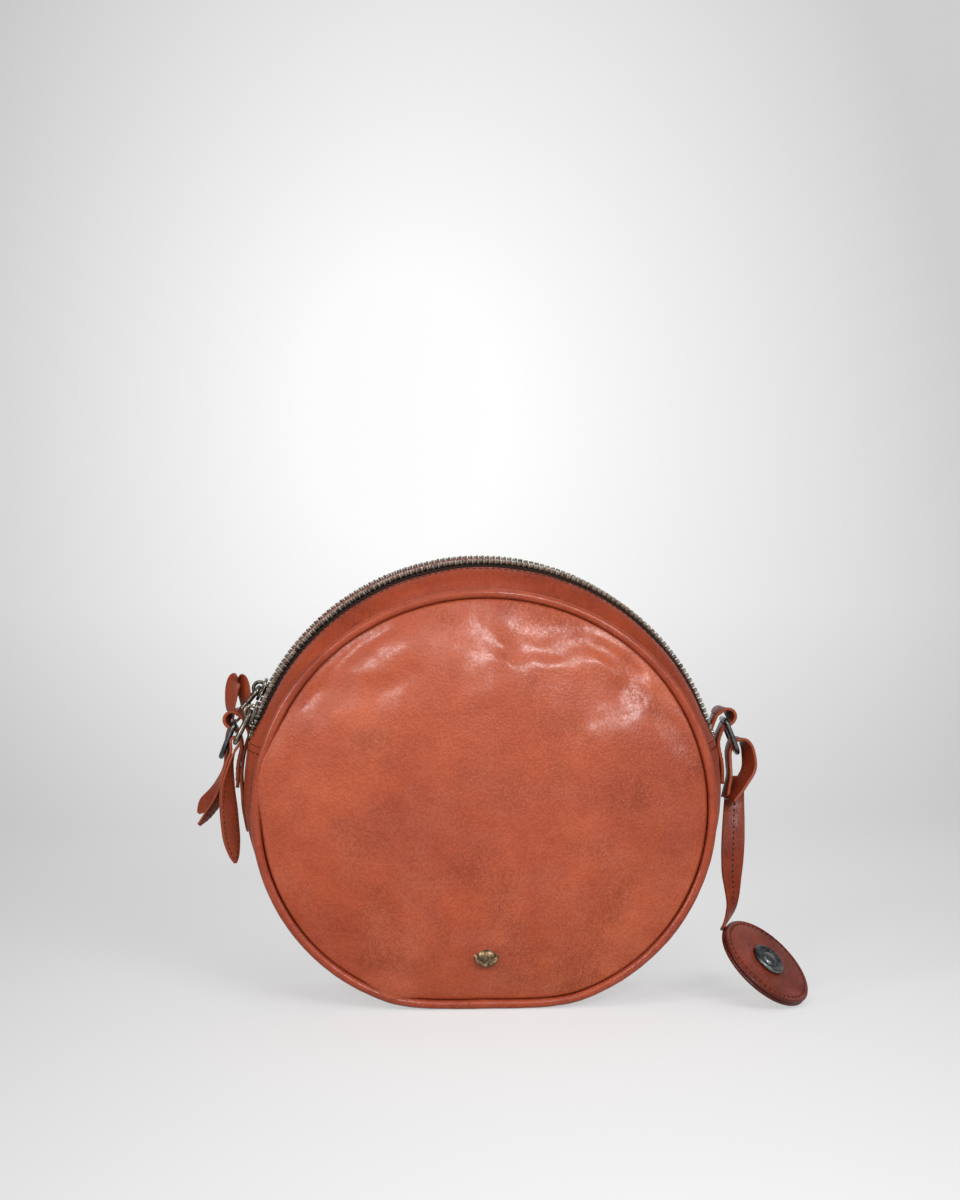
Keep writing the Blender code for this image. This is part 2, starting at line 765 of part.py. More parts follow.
def zip_hardware():
    for name, zip_y, rim_angle, fall in (
        ("front", -ZIP_Y, FRONT_SLIDER_ANGLE, FRONT_BAIL_FALL),
        ("rear", ZIP_Y, REAR_SLIDER_ANGLE, REAR_BAIL_FALL),
    ):
        slider(f"{name}_slider", zip_y, rim_angle)
        bail(f"{name}_bail", zip_y, rim_angle, fall)
    route = pull_route(FRONT_PULL_SHARES, FRONT_PULL_LENGTH, FRONT_PULL_DRIFT, PULL_WIDTH)
    folded_pull("front_pull_tab", bail_end(-ZIP_Y, FRONT_SLIDER_ANGLE, FRONT_BAIL_FALL), route)
    route = pull_route(REAR_PULL_SHARES, REAR_PULL_LENGTH, REAR_PULL_DRIFT, PULL_WIDTH)
    end = bail_end(ZIP_Y, REAR_SLIDER_ANGLE, REAR_BAIL_FALL)
    folded_pull("rear_pull_tab", end, route, REAR_TAIL_SHARE)


# Side tabs, each rolled over the bar of a D-ring


def tab_roll():
    """The middle of the right tab's roll, just outside the rim."""
    turn = math.radians(TAB_ROLL_ANGLE)
    radius = CROWN_RADIUS + TAB_ROLL_LIFT
    return Vector((radius * math.cos(turn), 0, HUB_HEIGHT + radius * math.sin(turn)))


def side_tab(name, side):
    first = SEAM_GAP + TAB_LEATHER / 2
    second = first + TAB_LEATHER + SEAM_GAP
    stations = [(rim_point(a, 0, first), w) for a, w in zip(TAB_ANGLES, TAB_WIDTH_SHARES)]
    roll = arc_points(tab_roll(), TAB_ROLL_RADIUS, TAB_ROLL_START, TAB_ROLL_END, TAB_ROLL_STEPS)
    stations += [(point, 1) for point in roll]
    stations += [(rim_point(a, 0, second), 1) for a in TAB_RETURN_ANGLES]
    strip = [((side * p.x, p.y, p.z), (0, 1, 0), TAB_WIDTH * w) for p, w in stations]
    return keep(ribbon(name, strip, TAB_LEATHER), LEATHER_FINISH)


def ring_pivot(side):
    """The bar's middle, seated in the lower outer side of the tab's roll."""
    slack = TAB_ROLL_RADIUS - TAB_LEATHER / 2 - RING_WIRE / 2 - SEAM_GAP
    turn = math.radians(RING_TILT)
    roll = tab_roll()
    return Vector((side * (roll.x + slack * math.sin(turn)), 0, roll.z - slack * math.cos(turn)))


def side_ring(name, side):
    half = TAB_WIDTH / 2 + RING_SIDE_GAP + RING_WIRE / 2
    fillet = RING_WIRE / 2
    outline = [(half - fillet, 0), (half - fillet / 3, fillet / 3), (half, fillet)]
    bow = [math.radians(t) for t in range(0, 180 + RING_STEP, RING_STEP)]
    middle = RING_DEPTH - half
    outline += [(half * math.cos(t), middle + half * math.sin(t)) for t in bow]
    outline += [(-half, fillet), (-half + fillet / 3, fillet / 3), (-half + fillet, 0)]
    turn = math.radians(RING_TILT)
    points = [(side * d * math.sin(turn), y, -d * math.cos(turn)) for y, d in outline]
    made = baked(tube(name, points, RING_WIRE / 2, closed=True))
    made.location = ring_pivot(side)
    return keep(made, GUNMETAL_FINISH)


def side_fittings():
    for name, side in (("left", -1), ("right", 1)):
        side_tab(f"{name}_side_tab", side)
        side_ring(f"{name}_ring", side)


# Fob: a loop on the right ring, a hanging strap and a disc with a round ornament


def fob_pivot():
    turn = math.radians(RING_TILT)
    return ring_pivot(1) + Vector((math.sin(turn), 0, -math.cos(turn))) * RING_DEPTH


def disc_frame():
    """The disc's placement: its long slope along local X and its face along local Z."""
    along = (FOB_DISC_LONG - FOB_DISC_NORMAL * FOB_DISC_LONG.dot(FOB_DISC_NORMAL)).normalized()
    across = FOB_DISC_NORMAL.cross(along)
    level = math.sqrt(1 - FOB_DISC_NORMAL.z**2)
    half = FOB_DISC_LEATHER + SEAM_GAP / 2
    height = FOB_FLOOR_GAP + FOB_DISC_RADIUS * level + half * FOB_DISC_NORMAL.z
    place = Matrix((along, across, FOB_DISC_NORMAL)).transposed().to_4x4()
    place.translation = (FOB_DISC_X, FOB_DISC_Y, height)
    return place


def disc_top():
    """Where the strap meets the disc's upper edge."""
    return disc_frame() @ Vector((-FOB_DISC_RADIUS - SEAM_GAP * 2, 0, 0))


def lathe(name, profile, steps):
    """Turns (radius, height) points, top to bottom, about local Z."""
    flat = bpy.data.meshes.new(name)
    flat.from_pydata([(r, 0, z) for r, z in profile], [(i, i + 1) for i in range(len(profile) - 1)], [])
    obj = object_from(name, flat)
    screw = obj.modifiers.new("turn", "SCREW")
    screw.steps = steps
    screw.render_steps = steps
    screw.use_merge_vertices = True
    screw.merge_threshold = MERGE
    return baked(obj)


def fob():
    pivot = fob_pivot()
    route = []
    for dx, dz, lean in FOB_LOOP_SHARES:
        route.append((dx * FOB_LOOP_REACH, -lean * FOB_LOOP_LEAN, dz * FOB_DROP))
    strip = [(pivot + Vector(p), (0, 1, 0), FOB_LOOP_WIDTH) for p in smooth_route(route, FOB_LOOP_STEPS)]
    keep(move_origin(ribbon("fob_loop", strip, FOB_LEATHER), pivot), LEATHER_FINISH)
    bottom = disc_top()
    top = pivot.z - FOB_STRAP_TOP
    length = top - bottom.z
    route = []
    for dx, dy, dz, turn, width in FOB_STRAP_SHARES:
        place = (pivot.x + dx * FOB_LOOP_REACH, dy * bottom.y, top - dz * length)
        route.append((*place, turn, width * FOB_STRAP_WIDTH))
    route.append((bottom.x, bottom.y, bottom.z + SEAM_GAP, FOB_STRAP_END_TURN, FOB_STRAP_END_WIDTH))
    strip = []
    for x, y, z, turn, width in smooth_route(route, FOB_STRAP_STEPS):
        turn = math.radians(turn)
        strip.append(((x, y, z), (math.sin(turn), math.cos(turn), 0), width))
    keep(move_origin(ribbon("fob_strap", strip, FOB_LEATHER), pivot), LEATHER_FINISH)
    place = disc_frame()
    half = SEAM_GAP / 2
    top = half + FOB_DISC_LEATHER
    flat = [(0, top), (FOB_DISC_RADIUS, top), (FOB_DISC_RADIUS, half), (0, half)]
    under = [(r, z - SEAM_GAP - FOB_DISC_LEATHER) for r, z in flat]
    for name, profile in (("fob_disc_front", flat), ("fob_disc_back", under)):
        made = lathe(name, profile, FOB_DISC_STEPS)
        made.matrix_world = place
        keep(made, LEATHER_FINISH)
    radius, rise = FOB_ORNAMENT_RADIUS, FOB_ORNAMENT_RISE
    face = top + SEAM_GAP
    profile = [(r * radius, face + z * rise) for r, z in FOB_ORNAMENT_SHARES]
    made = lathe("fob_ornament", profile, FOB_ORNAMENT_STEPS)
    made.matrix_world = place
    keep(made, GUNMETAL_FINISH)


# The round stud low on the front panel


def stud_frame():
    """The stud's placement on the panel's facet, its local Z pointing out of the leather."""
    grown = welt_radius(270) / WELT_RADIUS_TOP
    radius = (HUB_HEIGHT - STUD_HEIGHT) / grown
    outer, inner = panel_rings(radius)
    low, high = panel_y(outer, PANEL_BULGE), panel_y(inner, PANEL_BULGE)
    y = face_y(radius, PANEL_BULGE)
    slope = Vector((0, -(high - low), (outer - inner) * grown))
    normal = Vector((0, -slope.z, slope.y)).normalized()
    place = normal.to_track_quat("Z", "Y").to_matrix().to_4x4()
    place.translation = (0, -y, STUD_HEIGHT)
    return place


def stud_shape(name, radius, post, length):
    """A cylinder on the stud's axis, as long on both sides of the leather's face."""
    made = lathe(name, [(0, length), (radius, length), (post, -length), (0, -length)], STUD_STEPS)
    made.matrix_world = stud_frame()
    return made


def front_stud():
    base = SEAM_GAP * 2
    tail = LEATHER + SEAM_GAP * 2 + WASHER
    profile = [(r * STUD_RADIUS, base + z * STUD_RISE) for r, z in STUD_DOME_SHARES]
    profile += [(STUD_RADIUS, base), (STUD_POST, base), (STUD_POST, -tail), (0, -tail)]
    made = lathe("front_stud", profile, STUD_STEPS)
    made.matrix_world = stud_frame()
    keep(made, BRASS_FINISH)
    top = -LEATHER - SEAM_GAP
    bore = STUD_POST + SEAM_GAP
    low = top - WASHER
    ring = [(bore, top), (WASHER_RADIUS, top), (WASHER_RADIUS, low), (bore, low), (bore, top)]
    made = lathe("front_stud_washer", ring, STUD_STEPS)
    made.matrix_world = stud_frame()
    keep(made, BRASS_FINISH)


panels()
rim_leather()
piping()
zip_rows()
inner_parts()
zip_hardware()
side_fittings()
fob()
front_stud()
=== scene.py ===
# %% [markdown]
# # A round leather crossbody bag
# This script dresses a measured model of the bag. The measured model is the frame: it says where every
# piece sits and how it moves. Here each soft piece is modelled again as leather, cloth or metal really
# looks, in the same place and to the same size.

import json
import math

import bmesh
import bpy
from mathutils import Matrix, Vector, noise

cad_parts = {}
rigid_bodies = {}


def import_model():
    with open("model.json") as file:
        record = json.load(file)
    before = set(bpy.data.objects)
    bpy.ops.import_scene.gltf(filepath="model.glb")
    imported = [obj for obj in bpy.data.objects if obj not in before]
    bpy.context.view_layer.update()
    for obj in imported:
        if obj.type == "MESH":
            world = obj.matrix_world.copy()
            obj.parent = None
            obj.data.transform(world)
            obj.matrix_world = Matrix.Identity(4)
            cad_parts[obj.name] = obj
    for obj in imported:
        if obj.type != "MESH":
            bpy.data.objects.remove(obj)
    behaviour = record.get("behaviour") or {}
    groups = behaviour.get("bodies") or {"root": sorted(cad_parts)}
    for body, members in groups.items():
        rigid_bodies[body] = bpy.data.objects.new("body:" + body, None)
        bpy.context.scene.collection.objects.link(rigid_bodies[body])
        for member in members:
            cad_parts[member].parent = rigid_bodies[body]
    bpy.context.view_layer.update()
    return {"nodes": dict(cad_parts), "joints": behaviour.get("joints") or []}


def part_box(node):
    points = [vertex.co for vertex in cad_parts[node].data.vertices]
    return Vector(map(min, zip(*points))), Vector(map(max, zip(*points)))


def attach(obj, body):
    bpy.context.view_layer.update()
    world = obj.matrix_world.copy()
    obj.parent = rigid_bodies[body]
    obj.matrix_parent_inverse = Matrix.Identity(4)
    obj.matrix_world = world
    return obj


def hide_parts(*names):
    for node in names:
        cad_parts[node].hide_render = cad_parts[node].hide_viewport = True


for leftover in list(bpy.data.objects):
    bpy.data.objects.remove(leftover, do_unlink=True)
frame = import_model()
print("nodes in the frame:", len(frame["nodes"]))

# %% [markdown]
# ## Reading sizes from the frame
# Most of the sizes below are read from the frame's boxes and joints, so the leather fits the hardware; the
# piping's outline radii, the zip's end angles and the leather's thickness are given. The hub is the axis
# through the centre of both zip arcs. Angles round the rim run from +X up through +Z.

# %% The sizes that the pieces share
joints = {j["name"]: j for j in frame["joints"]}
HUB = Vector(joints["front_zip_travel"]["pos_m"])
HUB.y = 0
ZIP_Y = joints["rear_zip_travel"]["pos_m"][1]
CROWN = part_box("centre_band")[1].z - HUB.z
SLOT_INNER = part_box("centre_band")[1].y
SLOT_OUTER = 2 * ZIP_Y - SLOT_INNER
RIM_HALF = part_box("lower_gusset")[1].y
PIPING_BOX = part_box("front_piping")
WELT = (PIPING_BOX[1].y - PIPING_BOX[0].y) / 2
WELT_Y = -(PIPING_BOX[0].y + WELT)
WELT_TOP, WELT_SIDE, WELT_BASE = 0.0975, 0.1043, 0.0925
FRONT_BULGE = -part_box("front_panel")[0].y - WELT_Y
REAR_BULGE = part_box("rear_panel")[1].y - WELT_Y
ZIP_START, ZIP_END = 15, 165
LEATHER = 0.0014
SIDES = (("front", -1), ("rear", 1))
ZIPS = (("front_zip", -ZIP_Y), ("rear_zip", ZIP_Y))
print(f"hub {HUB.z:.4f}  crown {CROWN:.4f}  piping y {WELT_Y:.4f}")

# %% [markdown]
# ## The settled outline
# A soft round bag spreads at the sides and goes flat where it stands. One function gives the piping's
# distance from the hub at each rim angle, and a second gives the leather's height across the rim. The
# panels, bands, zips and stitches all read these two, which keeps their edges together.

# %% Outline functions
SAG_BLEND = 0.0042
BAND_DROP = 0.0027
# Degrees from the base: where the bag is widest, where it has left the floor, and where the crown and
# the zips' openings begin, each with the degrees that it takes to ease in.
WIDEST, LIFTED = 80, 60
CROWN_FROM, CROWN_OVER = 72, 28
OPEN_FROM, OPEN_OVER = 104, 9


def ease(share):
    share = min(max(share, 0.0), 1.0)
    return share * share * (3 - 2 * share)


def from_below(angle):
    return abs((angle + 270) % 360 - 180)


def half_wave(share):
    """Falls from 1 to 0 in a smooth half wave, as the share goes from 0 to 1."""
    return (1 + math.cos(math.pi * share)) / 2


def welt_radius(angle):
    below = from_below(angle)
    if below >= WIDEST:
        return WELT_TOP + (WELT_SIDE - WELT_TOP) * half_wave((below - WIDEST) / (180 - WIDEST))
    free = WELT_BASE + (WELT_SIDE - WELT_BASE) * half_wave((WIDEST - below) / WIDEST) ** 0.6
    if below >= LIFTED:
        return free
    floor = (HUB.z - WELT) / math.cos(math.radians(below))
    near = max(SAG_BLEND - abs(free - floor), 0) / SAG_BLEND
    return min(free, floor) - SAG_BLEND * near * near / 4


def zip_opening(angle):
    """1 along the zip, easing to 0 at its ends, where the bands meet the gusset."""
    return ease((from_below(angle) - OPEN_FROM) / OPEN_OVER)


def rim_radius(angle, y):
    share = ease((from_below(angle) - CROWN_FROM) / CROWN_OVER)
    welt = welt_radius(angle)
    low = welt + WELT / max(math.cos(math.radians(from_below(angle))), 0.9)
    crown = low * (1 - share) + CROWN * share
    slope = min(max((abs(y) - SLOT_OUTER) / (RIM_HALF - SLOT_OUTER), 0), 1)
    if abs(y) >= SLOT_OUTER:
        crown -= BAND_DROP * zip_opening(angle) * (1 - slope) ** 1.5
    return welt + (crown - welt) * (1 - slope ** (6 - 4.2 * share))


def polar(angle, radius, y):
    turn = math.radians(angle)
    return Vector((radius * math.cos(turn), y, HUB.z + radius * math.sin(turn)))


def angle_of(point):
    return math.degrees(math.atan2(point.z - HUB.z, point.x))


def from_hub(point):
    return math.hypot(point.x, point.z - HUB.z)


print(f"outline at 0, 90, 180, 270: {[round(welt_radius(a), 4) for a in (0, 90, 180, 270)]}")

# %% [markdown]
# ## Mesh helpers
# Most of the bag is sheet leather, so most pieces start as a grid of points: rows along the piece and
# columns across it. The helper joins such rows into a surface, and a second one gives that surface its
# thickness and rounds it, then makes the result a plain mesh with smooth shading.

# %% Grid and finishing helpers


def placed(name, data):
    """A new object in the scene that shows this mesh, curve, lamp or camera."""
    made = bpy.data.objects.new(name, data)
    bpy.context.scene.collection.objects.link(made)
    return made


def mesh_object(name, shape):
    mesh = bpy.data.meshes.new(name)
    shape.to_mesh(mesh)
    shape.free()
    return placed(name, mesh)


def running_length(points):
    """The distance along a path at each of its points."""
    lengths = [0.0]
    for before, after in zip(points, points[1:]):
        lengths.append(lengths[-1] + (Vector(after) - Vector(before)).length)
    return lengths


def grid_object(name, rows, close_rows=False, close_columns=False):
    """Rows of points joined to their neighbours, with a UV map in metres along and across."""
    shape = bmesh.new()
    layer = shape.loops.layers.uv.new("cloth")
    points = [[shape.verts.new(p) for p in row] for row in rows]
    middle, sample = [row[len(rows[0]) // 2] for row in rows], rows[len(rows) // 2]
    along = running_length(middle + middle[:1] * close_rows)
    across = running_length(sample + sample[:1] * close_columns)
    for i in range(len(along) - 1):
        for k in range(len(across) - 1):
            a, b = points[i], points[(i + 1) % len(points)]
            nxt = (k + 1) % len(a)
            face = shape.faces.new((a[k], a[nxt], b[nxt], b[k]))
            places = ((i, k), (i, k + 1), (i + 1, k + 1), (i + 1, k))
            for loop, (r, c) in zip(face.loops, places):
                loop[layer].uv = (along[r], across[c])
    return mesh_object(name, shape)


def made_real(obj):
    """Applies an object's modifiers and place, so it sits at the origin as a plain mesh."""
    bpy.context.view_layer.update()
    seen = obj.evaluated_get(bpy.context.evaluated_depsgraph_get())
    mesh = bpy.data.meshes.new_from_object(seen)
    mesh.transform(obj.matrix_world)
    name = obj.name
    bpy.data.objects.remove(obj, do_unlink=True)
    return placed(name, mesh)


def cleaned(obj, distance=1e-6, away_from=None, fill=False, turn=True):
    """Merges doubled points and turns the faces outwards, or away from a point. It can close holes too."""
    shape = bmesh.new()
    shape.from_mesh(obj.data)
    bmesh.ops.remove_doubles(shape, verts=shape.verts, dist=distance)
    if fill:
        bmesh.ops.holes_fill(shape, edges=[e for e in shape.edges if e.is_boundary], sides=0)
    if turn:
        bmesh.ops.recalc_face_normals(shape, faces=shape.faces)
    if away_from is not None:
        facing = sum((f.calc_center_median() - away_from).dot(f.normal) * f.calc_area() for f in shape.faces)
        if facing < 0:
            bmesh.ops.reverse_faces(shape, faces=shape.faces)
    shape.to_mesh(obj.data)
    shape.free()
    return obj


def soft_edges(obj, width, segments, angle):
    bevel = obj.modifiers.new("soft edges", "BEVEL")
    bevel.width, bevel.segments = width, segments
    bevel.limit_method, bevel.angle_limit = "ANGLE", math.radians(angle)


def leather_sheet(obj, thickness, edge=0):
    """Gives a sheet its thickness, soft cut edges and one round of smoothing."""
    solid = obj.modifiers.new("thickness", "SOLIDIFY")
    solid.thickness, solid.offset, solid.use_even_offset = thickness, -1, True
    if edge:
        soft_edges(obj, edge, 2, 50)
    rounds = obj.modifiers.new("smoothing", "SUBSURF")
    rounds.levels = rounds.render_levels = 1
    return made_real(obj)


def tube_object(name, points, radius, closed=False, sides=4):
    """A round wire through the points, made a plain mesh."""
    path = bpy.data.curves.new(name, "CURVE")
    path.dimensions = "3D"
    path.bevel_depth = radius
    path.bevel_resolution = sides
    path.use_fill_caps = not closed
    line = path.splines.new("POLY")
    line.points.add(len(points) - 1)
    for spot, point in zip(line.points, points):
        spot.co = (*point, 1)
    line.use_cyclic_u = closed
    return cleaned(made_real(placed(name, path)))

# %% [markdown]
# ## Paths
# Outlines and paths are lists of points. Some are bends, some are read at even steps round the rim, and
# the straps follow smooth curves through a few given places.

# %% Path helpers


def bend(x, y, radius, first, sweep, steps):
    """Points round a bend about (x, y), from a first angle in degrees."""
    turns = [math.radians(first + sweep * k / steps) for k in range(steps + 1)]
    return [(x + radius * math.cos(t), y + radius * math.sin(t)) for t in turns]


def rounded_box(half_x, half_y, corner, steps=4):
    points = []
    for sx, sy, first in ((1, 1, 0), (-1, 1, 90), (-1, -1, 180), (1, -1, 270)):
        points += bend(sx * (half_x - corner), sy * (half_y - corner), corner, first, 90, steps)
    return points


def along_arc(start, end, step, at):
    """What a function gives at even angles from start to end."""
    count = round((end - start) / step)
    return [at(start + (end - start) * k / count) for k in range(count + 1)]


def smooth_values(rows, count):
    """Rows of numbers read from a smooth curve through the given ones."""
    padded = [rows[0], *rows, rows[-1]]
    spans = len(rows) - 1
    route = []
    for k in range(count + 1):
        place = min(k * spans / count, spans - 1e-9)
        i = int(place)
        t = place - i
        spot = []
        for p, q, r, s in zip(*padded[i : i + 4]):
            bends = (2 * p - 5 * q + 4 * r - s) * t**2 + (3 * q - p - 3 * r + s) * t**3
            spot.append((2 * q + (r - p) * t + bends) / 2)
        route.append(spot)
    return route

# %% [markdown]
# ## Shader helpers
# A material here is a small tree of nodes. Effects that several finishes share, such as the grain of the
# hide, are node groups with named inputs, built once and placed in each material with its own values.
# All of them read Object coordinates in metres, or a piece's own UV map, so a pattern never slides.

# %% Node helpers


def put(tree, sources, node):
    """Links a socket to each named or numbered input of a node, or sets a plain value there."""
    for key, source in sources.items():
        if isinstance(source, bpy.types.NodeSocket):
            tree.links.new(source, node.inputs[key])
        else:
            node.inputs[key].default_value = source


def add(tree, kind, sources=None, **settings):
    made = tree.nodes.new(kind)
    for key, value in settings.items():
        setattr(made, key, value)
    put(tree, sources or {}, made)
    return made


def maths(tree, operation, first, second=0.0):
    return add(tree, "ShaderNodeMath", {0: first, 1: second}, operation=operation).outputs[0]


def mixed(tree, share, first, second, blend="MIX"):
    sources = {0: share, 6: first, 7: second}
    return add(tree, "ShaderNodeMix", sources, data_type="RGBA", blend_type=blend).outputs[2]


def spread(tree, value, low, high, to_low=0.0, to_high=1.0):
    sources = {0: value, 1: low, 2: high, 3: to_low, 4: to_high}
    return add(tree, "ShaderNodeMapRange", sources).outputs[0]


def cloud(tree, place, scale, detail=3.0, roughness=0.55, distortion=0.0):
    sources = {"Vector": place, "Scale": scale, "Detail": detail, "Roughness": roughness}
    return add(tree, "ShaderNodeTexNoise", sources | {"Distortion": distortion}).outputs[0]


def new_group(name, inputs, outputs):
    """A node group, with what it is given and the node that takes its results."""
    tree = bpy.data.node_groups.new(name, "ShaderNodeTree")
    for label, kind, value in inputs:
        socket = tree.interface.new_socket(label, in_out="INPUT", socket_type=kind)
        if value is not None:
            socket.default_value = value
    for label in outputs:
        tree.interface.new_socket(label, in_out="OUTPUT", socket_type=FLOAT)
    return tree, add(tree, "NodeGroupInput").outputs, add(tree, "NodeGroupOutput")


def new_material(name, coordinates="Object"):
    """A material, its tree, its shader and the coordinates that its patterns use."""
    made = bpy.data.materials.new(name)
    made.use_nodes = True
    tree = made.node_tree
    where = add(tree, "ShaderNodeTexCoord").outputs[coordinates]
    return made, tree, tree.nodes["Principled BSDF"], where


def darkness(tree):
    """The point attribute that the pieces carry for painted shade in creases and gaps, for the fob disc's
    darker rim and for the straps' pale cut edges.
    """
    return add(tree, "ShaderNodeAttribute", attribute_name="dark").outputs["Fac"]


def bumped(tree, shader, height, strength, distance):
    relief = add(tree, "ShaderNodeBump", {"Strength": strength, "Distance": distance, "Height": height})
    put(tree, {"Normal": relief.outputs[0]}, shader)


FLOAT, VECTOR = "NodeSocketFloat", "NodeSocketVector"

# %% [markdown]
# ## The hide
# This leather is a waxed, pulled-up cowhide. Seen close, it has fine pebbles with small pores. Over a few
# centimetres its colour drifts between orange and red-brown, and its wax is glossier where the hide
# is stretched. The group gives those three: a height for the grain, a drift for the colour and a wax mask.

# %% Hide grain group
hide, given, result = new_group(
    "hide_grain",
    [("Place", VECTOR, None), ("Pebble", FLOAT, 900.0), ("Wrinkle", FLOAT, 0.4), ("Drift size", FLOAT, 14.0)],
    ["Height", "Drift", "Wax"],
)
place = given["Place"]
wander = add(hide, "ShaderNodeTexNoise", {"Vector": place, "Scale": 140.0}).outputs["Color"]
sources = {0: wander, 1: (0.0030, 0.0030, 0.0030), 2: place}
shifted = add(hide, "ShaderNodeVectorMath", sources, operation="MULTIPLY_ADD").outputs[0]
sources = {"Vector": shifted, "Scale": given["Pebble"], "Smoothness": 0.35}
pebbles = add(hide, "ShaderNodeTexVoronoi", sources, feature="SMOOTH_F1").outputs["Distance"]
pebbles = maths(hide, "MULTIPLY", spread(hide, pebbles, 0.05, 0.75, 1.0, 0.0), 0.55)
fleck = maths(hide, "MULTIPLY", cloud(hide, place, 2600.0, 2.0, 0.6), 0.35)
squeezed = add(hide, "ShaderNodeVectorMath", {0: shifted, 1: (2.6, 1.0, 1.0)}, operation="MULTIPLY")
lines = cloud(hide, squeezed.outputs[0], 230.0, 3.0, 0.6, 1.6)
ridges = spread(hide, maths(hide, "ABSOLUTE", maths(hide, "SUBTRACT", lines, 0.5)), 0.0, 0.09)
where_lined = spread(hide, cloud(hide, place, 30.0, 2.0), 0.50, 0.68)
wrinkles = maths(hide, "MULTIPLY", maths(hide, "SUBTRACT", ridges, 1.0), where_lined)
wrinkles = maths(hide, "MULTIPLY", wrinkles, given["Wrinkle"])
height = maths(hide, "ADD", maths(hide, "ADD", pebbles, wrinkles), fleck)
drift = spread(hide, cloud(hide, place, given["Drift size"], 6.0, 0.68, 0.4), 0.35, 0.65)
wax = spread(hide, cloud(hide, place, 42.0, 6.0, 0.7, 0.6), 0.32, 0.70)
put(hide, {"Height": height, "Drift": drift, "Wax": wax}, result)
print("hide group nodes:", len(hide.nodes))

# %% [markdown]
# ## Leather finishes
# The panels, the rim, the piping and the straps are cut from one hide, but each piece has its own finish:
# the piping carries painted shade on its inner side, in the crease against the panel, and a strap's cut
# edge stays pale and rough. Each finish is the same short recipe with other colours. A point attribute
# named dark mixes in the third colour: painted shade in creases, gaps and stitch grooves, a darker rim on
# the fob's disc, and the pale colour of the straps' cut edges.

# %% Leather materials
PEBBLE = 820.0
# The third colour of the rim and the piping: painted shade for their creases, folded edges and stitch
# grooves.
PAINTED_CREASE_SHADE = (0.07, 0.009, 0.004)


def leather(name, light, deep, dark, roughness, bump, wrinkle=0.4, drift=14.0, coat=1.0):
    made, tree, shader, where = new_material(name)
    sources = {"Place": where, "Pebble": PEBBLE, "Wrinkle": wrinkle, "Drift size": drift}
    grain = add(tree, "ShaderNodeGroup", sources, node_tree=hide).outputs
    colour = mixed(tree, grain["Drift"], (*deep, 1), (*light, 1))
    pores = spread(tree, grain["Height"], -0.20, 0.75, 0.74, 1.10)
    colour = mixed(tree, 1.0, colour, pores, "MULTIPLY")
    waxed = spread(tree, grain["Wax"], 0.2, 1.0, 0.20 * coat, 0.85 * coat)
    speckle = spread(tree, grain["Height"], 0.0, 0.62, 0.12, 1.0)
    # The dark attribute mixes in the third colour: painted shade on the panels, the rim and the piping, a
    # darker rim on the fob's disc, and the pale cut edge on the straps.
    put(tree, {
        "Base Color": mixed(tree, darkness(tree), colour, (*dark, 1)),
        "Roughness": spread(tree, grain["Wax"], 0.0, 1.0, roughness + 0.08, roughness - 0.08),
        "Specular IOR Level": 0.30 * coat,
        "Coat Weight": maths(tree, "MULTIPLY", waxed, speckle),
        "Coat Roughness": 0.20,
    }, shader)
    bumped(tree, shader, grain["Height"], bump, 0.00030)
    return made


# The panels' third colour is painted shade for the crease against the piping.
PANEL_LEATHER = leather(
    "panel_leather", (0.51, 0.098, 0.033), (0.35, 0.049, 0.013), (0.06, 0.008, 0.004),
    0.42, 0.7, 0.6, coat=1.3,
)
RIM_LEATHER = leather(
    "rim_leather", (0.37, 0.058, 0.019), (0.25, 0.032, 0.010), PAINTED_CREASE_SHADE, 0.46, 0.8, 0.6, 20.0, 0.65
)
PIPING_LEATHER = leather(
    "piping_leather", (0.42, 0.070, 0.024), (0.27, 0.036, 0.011), PAINTED_CREASE_SHADE, 0.36, 0.3, drift=30.0
)
STRAP_LEATHER = leather(
    "strap_leather", (0.30, 0.046, 0.016), (0.16, 0.020, 0.007), (0.38, 0.092, 0.038),
    0.44, 0.5, 0.4, 32.0, 0.6,
)
FOB_LEATHER = leather(
    "fob_leather", (0.26, 0.036, 0.013), (0.12, 0.015, 0.006), (0.05, 0.007, 0.004),
    0.44, 0.6, 0.4, 40.0, 0.6,
)

# %% [markdown]
# ## Metal, thread and cloth finishes
# The zip is antique brass, rubbed pale in patches. The dark attribute paints shade into the gaps between
# the teeth: full below the chain's middle and fading out towards the tops, which stay pale. The sliders,
# the rings and the fob's ornament are blackened. The tape is a fine twill that is woven dark brown.

# %% Metal group and materials
worn, given, result = new_group(
    "worn_metal", [("Place", VECTOR, None), ("Patch size", FLOAT, 300.0)], ["Rubbed", "Height"]
)
patches = cloud(worn, given["Place"], given["Patch size"], 4.0, 0.6)
fine = maths(worn, "MULTIPLY", cloud(worn, given["Place"], 2400.0, 2.0), 0.3)
put(worn, {"Rubbed": spread(worn, patches, 0.36, 0.62), "Height": maths(worn, "ADD", fine, patches)}, result)
# The colour of painted shade in the zip's gaps, mixed in where the dark attribute is set.
PAINTED_GAP_SHADE = (0.012, 0.009, 0.007, 1)


def metal(name, rubbed, dark, low_rough, high_rough, patch=300.0):
    made, tree, shader, where = new_material(name)
    wear = add(tree, "ShaderNodeGroup", {"Place": where, "Patch size": patch}, node_tree=worn).outputs
    colour = mixed(tree, wear["Rubbed"], (*dark, 1), (*rubbed, 1))
    put(tree, {
        "Base Color": mixed(tree, darkness(tree), colour, PAINTED_GAP_SHADE),
        "Roughness": spread(tree, wear["Rubbed"], 0.0, 1.0, high_rough, low_rough),
        "Metallic": 1.0,
    }, shader)
    bumped(tree, shader, wear["Height"], 0.15, 0.0001)
    return made


